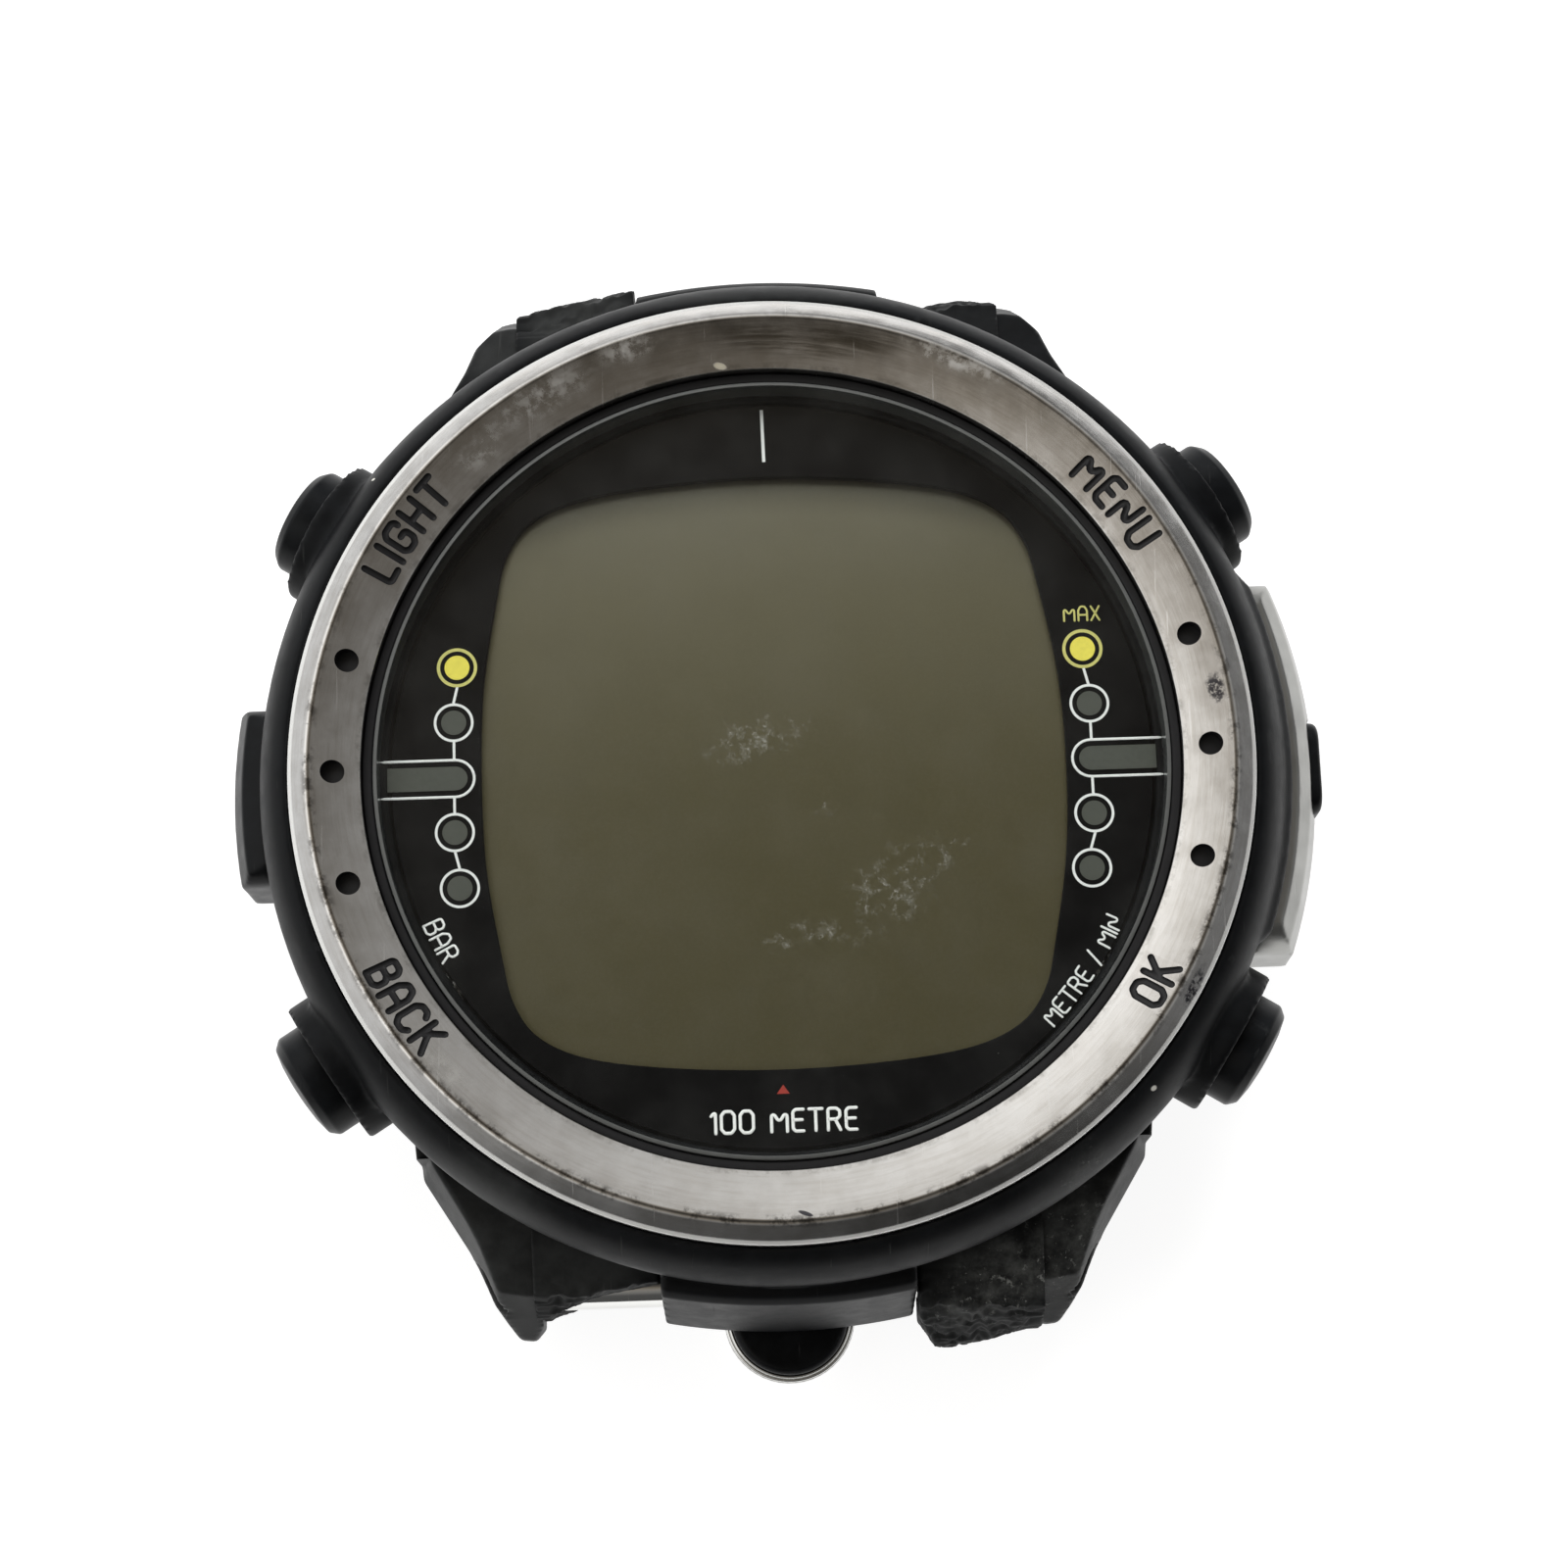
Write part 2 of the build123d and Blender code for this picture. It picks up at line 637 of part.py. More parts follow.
with BuildPart() as back_screws:
    for k in range(4):
        x, y = polar(20.35, 45 + 90 * k)
        with BuildSketch(Plane(origin=(x, y, 0), x_dir=(1, 0, 0), z_dir=(0, -1, 0))):
            with BuildLine():
                Polyline(
                    (0, 0.4), (0.35, 0.4), (0.35, 0.1), (0.8, 0.1), (0.93, 0.2), (0.93, 0.53),
                    (0.52, 0.53), (0.52, 4.4), (0, 4.4), (0, 0.4),
                )
            make_face()
        revolve(axis=Axis((x, y, 0), (0, 0, 1)))
save(back_screws, "back_screws")

# ---------------------------------------------------------------- strap remains
with BuildPart() as strap_tubes:
    for sx, sy in CORNERS.values():
        with BuildSketch(Plane(origin=(sx * (X_NOSE + 0.05), sy * Y_BAR, Z_BAR), x_dir=(0, 1, 0), z_dir=(sx, 0, 0))):
            Circle(R_TUBE)
            Circle(R_SCREW_BORE, mode=Mode.SUBTRACT)
        extrude(amount=X_EAR - X_NOSE - 0.1)
save(strap_tubes, "strap_tubes")

# each torn strap end grips its tube and fills the gap to the body; outlines differ because they tore differently
STUBS = {
    "ul": [(6.35, 23.9), (6.35, 27.0), (7.4, 27.7), (9.0, 27.6), (11.0, 26.8), (12.1, 26.4), (12.1, 23.9)],
    "ur": [(6.35, 23.9), (6.35, 25.4), (8.0, 25.6), (9.3, 26.2), (10.3, 26.8), (12.1, 26.5), (12.1, 23.9)],
    "ll": [(6.35, 23.9), (6.35, 24.6), (9.0, 25.0), (10.6, 25.5), (12.1, 26.1), (12.1, 23.9)],
    "lr": [(6.35, 23.9), (6.35, 26.6), (7.2, 27.9), (8.0, 27.95), (10.0, 27.6), (12.1, 27.1), (12.1, 23.9)],
}
STUB_SHOULDER = {"ul": 26.4, "ur": 25.2, "ll": 25.2, "lr": 26.4}  # where each end turns down
for key, outline in STUBS.items():
    sx, sy = CORNERS[key]
    with BuildPart() as stub:
        with BuildSketch(Plane.XY.offset(4.0)):
            with BuildLine():
                pts = [(sx * x, sy * y) for x, y in outline]
                Polyline(*pts, pts[0])
            make_face()
        extrude(amount=5.0)
        with BuildSketch(Plane.XY.offset(5.0)):
            with BuildLine():
                pts = [(sx * 6.35, sy * 22.95), (sx * 6.35, sy * 24.3), (sx * 12.1, sy * 24.3), (sx * 12.1, sy * 20.6), (sx * 9.3, sy * 21.95)]
                Polyline(*pts, pts[0])
            make_face()
        extrude(amount=4.4)
        shoulder = STUB_SHOULDER[key]
        with BuildSketch(Plane.YZ.offset(-13.0 if sx < 0 else 5.5)):
            with BuildLine():
                Polyline(
                    (sy * 22.6, 9.45),
                    (sy * shoulder, 8.6),
                    (sy * (shoulder + 1.9), 3.9),
                    (sy * 30.0, 3.9),
                    (sy * 30.0, 9.8),
                    (sy * 22.6, 9.8),
                    (sy * 22.6, 9.45),
                )
            make_face()
        extrude(amount=7.5, mode=Mode.SUBTRACT)
        with BuildSketch(Plane(origin=(0, sy * Y_BAR, Z_BAR), x_dir=(0, 1, 0), z_dir=(sx, 0, 0))):
            Circle(R_TUBE + 0.02)
        extrude(amount=20, mode=Mode.SUBTRACT)
    save(stub, f"strap_stub_{key}")

# ---------------------------------------------------------------- buttons
for key, angle in A_BUTTONS.items():
    with BuildPart() as button:
        with BuildSketch(axial_plane(angle)):
            with BuildLine():
                Polyline(
                    (D_STEM_END, 0), (D_STEM_END, R_STEM - 0.15), (D_STEM_END + 0.15, R_STEM),
                    (18.8, R_STEM), (18.8, 0.65), (19.2, 0.65), (19.2, R_STEM),
                    (26.9, R_STEM), (26.9, 2.25), (25.7, 2.25), (25.7, R_CAP - 0.1), (25.8, R_CAP),
                    (27.55, R_CAP), (D_BUTTON_FACE - 0.05, 2.25), (D_BUTTON_FACE, 2.0),
                    (D_BUTTON_FACE - 0.12, 1.7), (D_BUTTON_FACE - 0.12, 0), (D_STEM_END, 0),
                )
            make_face()
        revolve(axis=button_axis(angle))
    save(button, f"button_{key}")

    with BuildPart() as clip:
        with BuildSketch(radial_plane(angle, 18.82)):
            Circle(1.6)
            Circle(0.66, mode=Mode.SUBTRACT)
            with Locations((0, 1.2)):
                Rectangle(0.9, 2.4, mode=Mode.SUBTRACT)
        extrude(amount=0.36)
    save(clip, f"button_clip_{key}")

    with BuildPart() as spring:
        with BuildLine():
            c, s = cos(radians(angle)), sin(radians(angle))
            coil = Helix(pitch=0.58, height=2.3, radius=1.75, center=(24.45 * c, 24.45 * s, Z_BUTTON), direction=(c, s, 0))
        with BuildSketch(Plane(origin=coil @ 0, z_dir=coil % 0)):
            Circle(0.13)
        sweep(is_frenet=True)
    save(spring, f"button_spring_{key}")

with BuildPart() as button_bushes:
    for angle in A_BUTTONS.values():
        with BuildSketch(axial_plane(angle)):
            with BuildLine():
                Polyline(
                    (20.0, R_BUSH_IN), (20.0, R_BUSH_OUT - 0.02), (24.25, R_BUSH_OUT - 0.02),
                    (24.25, R_BUSH_IN), (22.75, R_BUSH_IN), (22.75, 1.5), (21.95, 1.5), (21.95, R_BUSH_IN),
                    (20.0, R_BUSH_IN),
                )
            make_face()
        revolve(axis=button_axis(angle))
save(button_bushes, "button_bushes")

with BuildPart() as stem_seals:
    for angle in A_BUTTONS.values():
        with BuildSketch(axial_plane(angle)):
            with Locations((22.35, 1.21)):
                Circle(0.27)
        revolve(axis=button_axis(angle))
save(stem_seals, "stem_seals")
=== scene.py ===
"""Looks of a wrist dive computer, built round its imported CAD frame. Lengths in this file are in millimetres until they reach a mesh."""
import math
import random

import bmesh
import bpy
import numpy as np
from mathutils import Matrix, Vector, noise as field

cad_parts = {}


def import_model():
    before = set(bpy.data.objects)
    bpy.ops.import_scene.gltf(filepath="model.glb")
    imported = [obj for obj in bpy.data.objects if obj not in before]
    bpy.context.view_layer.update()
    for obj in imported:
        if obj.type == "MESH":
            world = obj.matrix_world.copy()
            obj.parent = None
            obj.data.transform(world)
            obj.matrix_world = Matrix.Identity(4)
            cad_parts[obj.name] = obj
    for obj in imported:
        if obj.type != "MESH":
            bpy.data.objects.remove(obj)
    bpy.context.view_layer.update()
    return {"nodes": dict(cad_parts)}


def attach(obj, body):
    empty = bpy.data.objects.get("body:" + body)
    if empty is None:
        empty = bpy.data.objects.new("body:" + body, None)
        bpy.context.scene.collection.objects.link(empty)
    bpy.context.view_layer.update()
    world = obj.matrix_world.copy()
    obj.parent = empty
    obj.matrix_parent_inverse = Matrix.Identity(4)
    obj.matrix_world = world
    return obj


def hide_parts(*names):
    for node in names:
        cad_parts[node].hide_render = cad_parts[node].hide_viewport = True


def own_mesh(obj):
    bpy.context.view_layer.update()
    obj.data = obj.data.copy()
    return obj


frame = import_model()
NODES = frame["nodes"]
MM = 0.001
SCENE = bpy.context.scene
RNG = random.Random(7)

BODY = "housing"
BUTTON_ANGLES = {"ul": 148.0, "ur": 32.0, "ll": 212.0, "lr": 328.0}
Z_BUTTON = 9.5


# ------------------------------------------------------------------ mesh helpers
def make_object(name, verts, faces, mats, mat_index=None, body=BODY, angle=32.0):
    me = bpy.data.meshes.new(name)
    me.from_pydata([tuple(c * MM for c in v) for v in verts], [], faces)
    for m in mats:
        me.materials.append(m)
    if mat_index is not None:
        me.polygons.foreach_set("material_index", mat_index)
    me.validate()
    me.update()
    o = bpy.data.objects.new(name, me)
    SCENE.collection.objects.link(o)
    shade(o, angle)
    if body:
        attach(o, body)
    return o


def shade(o, angle=32.0):
    """Smooth shading, with edges sharper than angle kept crisp."""
    me = o.data
    bm = bmesh.new()
    bm.from_mesh(me)
    bm.normal_update()
    lim = math.radians(angle)
    for e in bm.edges:
        e.smooth = not (len(e.link_faces) == 2 and e.calc_face_angle(0.0) > lim)
    for f in bm.faces:
        f.smooth = True
    bm.to_mesh(me)
    bm.free()


def corner(points, radius, steps=4, closed=True):
    """A polygon's corners rounded by arcs. radius is one number or one per corner."""
    n = len(points)
    rad = radius if isinstance(radius, (list, tuple)) else [radius] * n
    out = []
    for i in range(n):
        p = Vector(points[i][:2])
        if rad[i] <= 0 or (not closed and i in (0, n - 1)):
            out.append((p.x, p.y))
            continue
        a = Vector(points[i - 1][:2]) - p
        b = Vector(points[(i + 1) % n][:2]) - p
        la, lb = a.length, b.length
        a.normalize(); b.normalize()
        half = math.acos(max(-1, min(1, a.dot(b)))) / 2
        if half > math.radians(88.5):
            out.append((p.x, p.y))
            continue
        t = min(rad[i] / math.tan(half), la * 0.45, lb * 0.45)
        r = t * math.tan(half)
        c = p + (a + b).normalized() * (r / math.sin(half))
        p0, p1 = p + a * t, p + b * t
        a0 = math.atan2(p0.y - c.y, p0.x - c.x)
        a1 = math.atan2(p1.y - c.y, p1.x - c.x)
        d = (a1 - a0 + math.pi) % (2 * math.pi) - math.pi
        for k in range(steps + 1):
            ang = a0 + d * k / steps
            out.append((c.x + r * math.cos(ang), c.y + r * math.sin(ang)))
    return out


def lathe(name, profile, mats, segs=256, body=BODY, frame_m=None, closed=True, angle=32.0, pick=None):
    """Turns a profile of (radius, height) about an axis. frame_m maps (x, y, z) with z along the axis into the part's frame, in mm."""
    verts, faces, idx = [], [], []
    n = len(profile)
    ring = []
    for r, z in profile:
        if r < 1e-6:
            ring.append([len(verts)])
            verts.append((0.0, 0.0, z))
        else:
            ring.append(list(range(len(verts), len(verts) + segs)))
            for k in range(segs):
                a = 2 * math.pi * k / segs
                verts.append((r * math.cos(a), r * math.sin(a), z))
    last = n if closed else n - 1
    for i in range(last):
        p, q = ring[i], ring[(i + 1) % n]
        if len(p) == 1 and len(q) == 1:
            continue
        for k in range(segs):
            k2 = (k + 1) % segs
            if len(p) == 1:
                faces.append((p[0], q[k2], q[k]))
            elif len(q) == 1:
                faces.append((p[k], p[k2], q[0]))
            else:
                faces.append((p[k], p[k2], q[k2], q[k]))
            idx.append(pick(i) if pick else 0)
    if frame_m is not None:
        verts = [tuple(frame_m @ Vector(v)) for v in verts]
    o = make_object(name, verts, faces, mats, idx, body, angle)
    bm = bmesh.new(); bm.from_mesh(o.data)
    bmesh.ops.recalc_face_normals(bm, faces=bm.faces)
    bm.to_mesh(o.data); bm.free()
    return o


def button_frame(angle, z=Z_BUTTON):
    """Local z runs outward along the button's axis."""
    c, s = math.cos(math.radians(angle)), math.sin(math.radians(angle))
    return Matrix(((-s, 0, c, 0), (c, 0, s, 0), (0, 1, 0, z), (0, 0, 0, 1)))


def apply_mods(o):
    deps = bpy.context.evaluated_depsgraph_get()
    deps.update()
    me = bpy.data.meshes.new_from_object(o.evaluated_get(deps), preserve_all_data_layers=True, depsgraph=deps)
    o.modifiers.clear()
    old = o.data
    o.data = me
    if old.users == 0:
        bpy.data.meshes.remove(old)
    return o


def prism(outline, z0, z1, bevel=0.0, steps=3):
    """Vertices and faces of a flat outline raised from z0 to z1 with a rounded top and bottom edge."""
    n = len(outline)
    area = sum(outline[i][0] * outline[(i + 1) % n][1] - outline[(i + 1) % n][0] * outline[i][1] for i in range(n))
    pts = outline if area > 0 else outline[::-1]
    levels = []
    if bevel > 0:
        for k in range(steps + 1):
            a = math.pi / 2 * k / steps
            levels.append((bevel * (1 - math.sin(a)), z0 + bevel * (1 - math.cos(a))))
        for k in range(steps + 1):
            a = math.pi / 2 * k / steps
            levels.append((bevel * (1 - math.cos(a)), z1 - bevel * (1 - math.sin(a))))
    else:
        levels = [(0.0, z0), (0.0, z1)]
    normals = []
    for i in range(n):
        a = Vector(pts[i]) - Vector(pts[i - 1]); b = Vector(pts[(i + 1) % n]) - Vector(pts[i])
        a.normalize(); b.normalize()
        na, nb = Vector((-a.y, a.x)), Vector((-b.y, b.x))
        m = (na + nb)
        m = m / max(m.dot(na), 0.3) if m.length > 1e-6 else na
        normals.append(m)
    verts, faces = [], []
    for inset, z in levels:
        for p, m in zip(pts, normals):
            verts.append((p[0] + m.x * inset, p[1] + m.y * inset, z))
    for l in range(len(levels) - 1):
        for i in range(n):
            j = (i + 1) % n
            faces.append((l * n + i, l * n + j, (l + 1) * n + j, (l + 1) * n + i))
    faces.append(tuple(range(n - 1, -1, -1)))
    top = (len(levels) - 1) * n
    faces.append(tuple(range(top, top + n)))
    return verts, faces


# ------------------------------------------------------------------ node helpers
class Mat:
    """A node material being wired up."""

    def __init__(self, name):
        self.m = bpy.data.materials.new(name)
        self.m.use_nodes = True
        self.nt = self.m.node_tree
        self.nt.nodes.clear()
        self.out = self.nt.nodes.new("ShaderNodeOutputMaterial")
        self.co = self.nt.nodes.new("ShaderNodeTexCoord").outputs["Object"]

    def node(self, kind, **props):
        n = self.nt.nodes.new(kind)
        for k, v in props.items():
            setattr(n, k, v)
        return n

    def link(self, a, b):
        self.nt.links.new(a, b)

    def put(self, socket, value):
        if hasattr(value, "is_output") or isinstance(value, bpy.types.NodeSocket):
            self.link(value, socket)
        else:
            socket.default_value = value

    def principled(self, **values):
        p = self.node("ShaderNodeBsdfPrincipled")
        for k, v in values.items():
            s = p.inputs[k.replace("_", " ")]
            if isinstance(v, (tuple, list)) and len(v) == 3 and s.type == "RGBA":
                v = (*v, 1.0)
            self.put(s, v)
        self.link(p.outputs[0], self.out.inputs[0])
        return p

    def coords(self, scale=(1, 1, 1), rot=(0, 0, 0), loc=(0, 0, 0), source=None):
        n = self.node("ShaderNodeMapping")
        n.inputs["Scale"].default_value = scale
        n.inputs["Rotation"].default_value = rot
        n.inputs["Location"].default_value = loc
        self.link(source or self.co, n.inputs["Vector"])
        return n.outputs[0]

    def noise(self, scale, detail=4.0, rough=0.55, vec=None, distort=0.0, w=None):
        """Noise whose scale is in cells per mm."""
        n = self.node("ShaderNodeTexNoise")
        if w is not None:
            n.noise_dimensions = "4D"
            n.inputs["W"].default_value = w
        n.inputs["Scale"].default_value = scale * 1000.0
        n.inputs["Detail"].default_value = detail
        n.inputs["Roughness"].default_value = rough
        n.inputs["Distortion"].default_value = distort
        self.link(vec or self.co, n.inputs["Vector"])
        return n.outputs["Fac"]

    def ramp(self, fac, *stops, interp="LINEAR"):
        n = self.node("ShaderNodeValToRGB")
        r = n.color_ramp
        r.interpolation = interp
        while len(r.elements) < len(stops):
            r.elements.new(0.5)
        for e, (p, c) in zip(r.elements, stops):
            e.position = p
            e.color = (c, c, c, 1) if isinstance(c, (int, float)) else (*c, 1)
        self.put(n.inputs["Fac"], fac)
        return n.outputs["Color"]

    def math(self, op, a, b=0.0, c=0.0, clamp=False):
        n = self.node("ShaderNodeMath", operation=op, use_clamp=clamp)
        self.put(n.inputs[0], a)
        self.put(n.inputs[1], b)
        if op in ("MULTIPLY_ADD", "SMOOTH_MIN", "SMOOTH_MAX", "WRAP", "COMPARE"):
            self.put(n.inputs[2], c)
        return n.outputs[0]

    def span(self, x, a, b, lo=0.0, hi=1.0, kind="SMOOTHSTEP"):
        n = self.node("ShaderNodeMapRange", interpolation_type=kind)
        self.put(n.inputs["Value"], x)
        n.inputs["From Min"].default_value = a
        n.inputs["From Max"].default_value = b
        n.inputs["To Min"].default_value = lo
        n.inputs["To Max"].default_value = hi
        return n.outputs[0]

    def mix(self, fac, a, b, blend="MIX"):
        n = self.node("ShaderNodeMix", data_type="RGBA", blend_type=blend)
        self.put(n.inputs[0], fac)
        for s, v in ((n.inputs[6], a), (n.inputs[7], b)):
            if isinstance(v, (tuple, list)):
                v = (*v[:3], 1.0)
            self.put(s, v)
        return n.outputs[2]

    def xyz(self, source=None):
        n = self.node("ShaderNodeSeparateXYZ")
        self.link(source or self.co, n.inputs[0])
        return n.outputs

    def bump(self, height, strength=0.3, dist=0.05, normal=None):
        n = self.node("ShaderNodeBump")
        n.inputs["Strength"].default_value = strength
        n.inputs["Distance"].default_value = dist * MM
        self.link(height, n.inputs["Height"])
        if normal is not None:
            self.link(normal, n.inputs["Normal"])
        return n.outputs[0]

    def radius(self):
        x, y, _ = self.xyz()
        xx = self.math("MULTIPLY", x, x)
        yy = self.math("MULTIPLY", y, y)
        return self.math("MULTIPLY", self.math("SQRT", self.math("ADD", xx, yy)), 1000.0)

    def spot(self, x, y, rx, ry, turn=0.0, soft=0.35, ragged=0.0, scale=1.0):
        """1 inside an ellipse about (x, y) mm in plan, falling to 0 at its edge."""
        v = self.coords(scale=(1000.0, 1000.0, 1000.0))
        sub = self.node("ShaderNodeVectorMath", operation="SUBTRACT")
        self.link(v, sub.inputs[0])
        sub.inputs[1].default_value = (x, y, 0)
        rot = self.node("ShaderNodeVectorRotate", rotation_type="Z_AXIS")
        self.link(sub.outputs[0], rot.inputs["Vector"])
        rot.inputs["Angle"].default_value = -turn
        mul = self.node("ShaderNodeVectorMath", operation="MULTIPLY")
        self.link(rot.outputs[0], mul.inputs[0])
        mul.inputs[1].default_value = (1.0 / rx, 1.0 / ry, 0)
        ln = self.node("ShaderNodeVectorMath", operation="LENGTH")
        self.link(mul.outputs[0], ln.inputs[0])
        d = ln.outputs["Value"]
        if ragged:
            d = self.math("ADD", d, self.math("MULTIPLY", self.math("SUBTRACT", self.noise(scale, 4.0, 0.6), 0.5), ragged))
        return self.span(d, 1.0, 1.0 - soft, 0.0, 1.0)


def total(m, items, op="MAXIMUM"):
    acc = items[0]
    for i in items[1:]:
        acc = m.math(op, acc, i)
    return acc


# ------------------------------------------------------------------ materials
def black_plastic(name, base=(0.0060, 0.0066, 0.0074), rough=0.46, grain=14.0, wear=0.5, scuffs=(), dust=0.25, seed=0.0, pale_patches=(), nicks=()):
    """Matte black moulded plastic: fine grain, rubbed patches, edge wear, dust, white scuffs, and pale patches at given
    spots, some of them painted sheen.
    """
    m = Mat(name)
    fine = m.noise(grain, 3.0, 0.6, w=seed)
    mid = m.noise(0.9, 5.0, 0.6, w=seed + 1.0)
    big = m.noise(0.16, 3.0, 0.5, w=seed + 2.0)
    col = m.mix(m.span(mid, 0.35, 0.7), base, tuple(c * 1.7 for c in base))
    col = m.mix(m.math("MULTIPLY", m.span(big, 0.45, 0.75), 0.55), col, tuple(c * 2.1 for c in base))
    specks = m.math("MULTIPLY", m.span(m.noise(6.5, 2.0, 0.5, w=seed + 5.0), 0.735, 0.80), m.span(m.noise(0.5, 2.0, 0.5, w=seed + 6.0), 0.45, 0.7))
    col = m.mix(m.math("MULTIPLY", specks, dust), col, (0.35, 0.35, 0.33))
    # hair-thin rub marks in three directions
    marks = []
    for k, (ang, st) in enumerate(((0.4, 0.07), (1.6, 0.05), (2.5, 0.09))):
        v = m.coords(scale=(1.0, st, st), rot=(0.1 * k, 0.2, ang))
        n = m.noise(4.2, 2.0, 0.5, vec=v, w=seed + 9.0 + k)
        marks.append(m.span(n, 0.70, 0.745))
    rub = m.math("MULTIPLY", total(m, marks), m.span(m.noise(0.35, 3.0, 0.6, w=seed + 14.0), 0.42, 0.62))
    col = m.mix(m.math("MULTIPLY", rub, 0.22 * wear), col, (0.16, 0.16, 0.155))
    # light wear where the surface turns sharply
    geo = m.node("ShaderNodeNewGeometry")
    edge = m.span(geo.outputs["Pointiness"], 0.535, 0.60)
    edge = m.math("MULTIPLY", edge, m.span(m.noise(1.4, 4.0, 0.65, w=seed + 20.0), 0.35, 0.65))
    col = m.mix(m.math("MULTIPLY", edge, 0.40 * wear), col, (0.045, 0.047, 0.048))
    r = m.math("ADD", rough, m.math("MULTIPLY", m.math("SUBTRACT", mid, 0.5), 0.30))
    r = m.math("ADD", r, m.math("MULTIPLY", rub, 0.12))
    for (x, y, rx, ry, turn, amount) in scuffs:
        zone = m.spot(x, y, rx, ry, turn, soft=0.7, ragged=0.5, scale=0.5)
        flecks = m.math("MULTIPLY", zone, m.span(m.noise(2.1, 6.0, 0.72, w=seed + 31.0), 0.56, 0.66))
        flecks2 = m.math("MULTIPLY", zone, m.span(m.noise(5.5, 3.0, 0.6, w=seed + 33.0), 0.66, 0.73))
        haze = m.math("MULTIPLY", zone, m.span(m.noise(0.8, 5.0, 0.7, w=seed + 35.0), 0.35, 0.8, 0.0, 0.35))
        mark = total(m, [m.math("MULTIPLY", flecks, 0.75), flecks2, haze])
        col = m.mix(m.math("MULTIPLY", mark, amount), col, (0.42, 0.43, 0.41))
        r = m.math("ADD", r, m.math("MULTIPLY", mark, 0.25))
    # pale grey patches at given spots, some of them painted sheen (noted where the spots are given)
    for (x, y, rx, ry, turn, amount) in pale_patches:
        zone = m.math("MULTIPLY", m.spot(x, y, rx, ry, turn, soft=0.6, ragged=0.2, scale=0.4), m.span(mid, 0.25, 0.7, 0.55, 1.0))
        col = m.mix(m.math("MULTIPLY", zone, amount), col, (0.060, 0.062, 0.060))
    for (x, y, rx, ry, turn) in nicks:
        col = m.mix(m.spot(x, y, rx, ry, turn, soft=0.4, ragged=0.5, scale=3.0), col, (0.62, 0.61, 0.56))
    b = m.bump(fine, 0.22, 0.02)
    b = m.bump(mid, 0.10, 0.12, b)
    m.principled(Base_Color=col, Roughness=r, Normal=b, Specular_IOR_Level=0.13)
    return m.m


def metal(name, colour=(0.60, 0.585, 0.56), rough=0.22, brush=None, wear=1.0, seed=0.0, tint=0.5):
    """Plain worn steel with optional straight or turned brushing."""
    m = Mat(name)
    mid = m.noise(0.8, 5.0, 0.6, w=seed)
    blotch = m.noise(0.22, 4.0, 0.55, w=seed + 3.0)
    col = m.mix(m.math("MULTIPLY", m.span(blotch, 0.42, 0.7), tint), colour, tuple(c * 0.72 for c in colour))
    r = m.math("ADD", rough, m.math("MULTIPLY", m.math("SUBTRACT", mid, 0.5), 0.22))
    marks = []
    for k, (ang, st) in enumerate(((0.3, 0.03), (1.3, 0.02), (2.2, 0.035), (2.9, 0.02))):
        v = m.coords(scale=(1.0, st, st), rot=(0.0, 0.0, ang))
        marks.append(m.span(m.noise(6.0, 2.0, 0.5, vec=v, w=seed + 9.0 + k), 0.70, 0.73))
    lines = m.math("MULTIPLY", total(m, marks), m.span(m.noise(0.5, 3.0, 0.6, w=seed + 15.0), 0.40, 0.6))
    col = m.mix(m.math("MULTIPLY", lines, 0.35 * wear), col, (0.85, 0.85, 0.83))
    r = m.math("ADD", r, m.math("MULTIPLY", lines, 0.18 * wear))
    if brush == "turned":
        rad = m.radius()
        comb = m.node("ShaderNodeCombineXYZ")
        m.put(comb.inputs[0], rad)
        n = m.node("ShaderNodeTexNoise")
        n.inputs["Scale"].default_value = 9.0
        n.inputs["Detail"].default_value = 3.0
        m.link(comb.outputs[0], n.inputs["Vector"])
        height = n.outputs["Fac"]
        rings = m.math("ADD", m.math("MULTIPLY", height, 0.7), m.math("MULTIPLY", mid, 0.3))
        col = m.mix(m.math("MULTIPLY", m.span(rings, 0.38, 0.62), 0.55), col, tuple(c * 0.45 for c in colour))
        well = m.math("MULTIPLY", m.span(rad, 11.7, 12.3), m.span(rad, 16.3, 15.7))
        col = m.mix(m.math("MULTIPLY", well, 0.35), col, tuple(c * 0.40 for c in colour))
    elif brush:
        v = m.coords(scale=brush)
        height = m.noise(9.0, 3.0, 0.6, vec=v, w=seed + 22.0)
    else:
        height = mid
    b = m.bump(height, 0.16 if brush else 0.05, 0.03)
    m.principled(Base_Color=col, Roughness=r, Metallic=1.0, Normal=b)
    return m.m


def simple(name, colour, rough=0.5, metallic=0.0, grain=3.0, vary=0.35, spec=0.5, seed=0.0):
    m = Mat(name)
    a = m.noise(grain, 4.0, 0.6, w=seed)
    b = m.noise(grain * 0.12, 3.0, 0.5, w=seed + 1)
    col = m.mix(m.span(a, 0.3, 0.75), colour, tuple(min(1.0, c * (1 + vary)) for c in colour))
    col = m.mix(m.math("MULTIPLY", m.span(b, 0.4, 0.8), 0.5), col, tuple(c * (1 - vary * 0.6) for c in colour))
    r = m.math("ADD", rough, m.math("MULTIPLY", m.math("SUBTRACT", a, 0.5), 0.25))
    m.principled(Base_Color=col, Roughness=r, Metallic=metallic, Normal=m.bump(a, 0.1, 0.03), Specular_IOR_Level=spec)
    return m.m


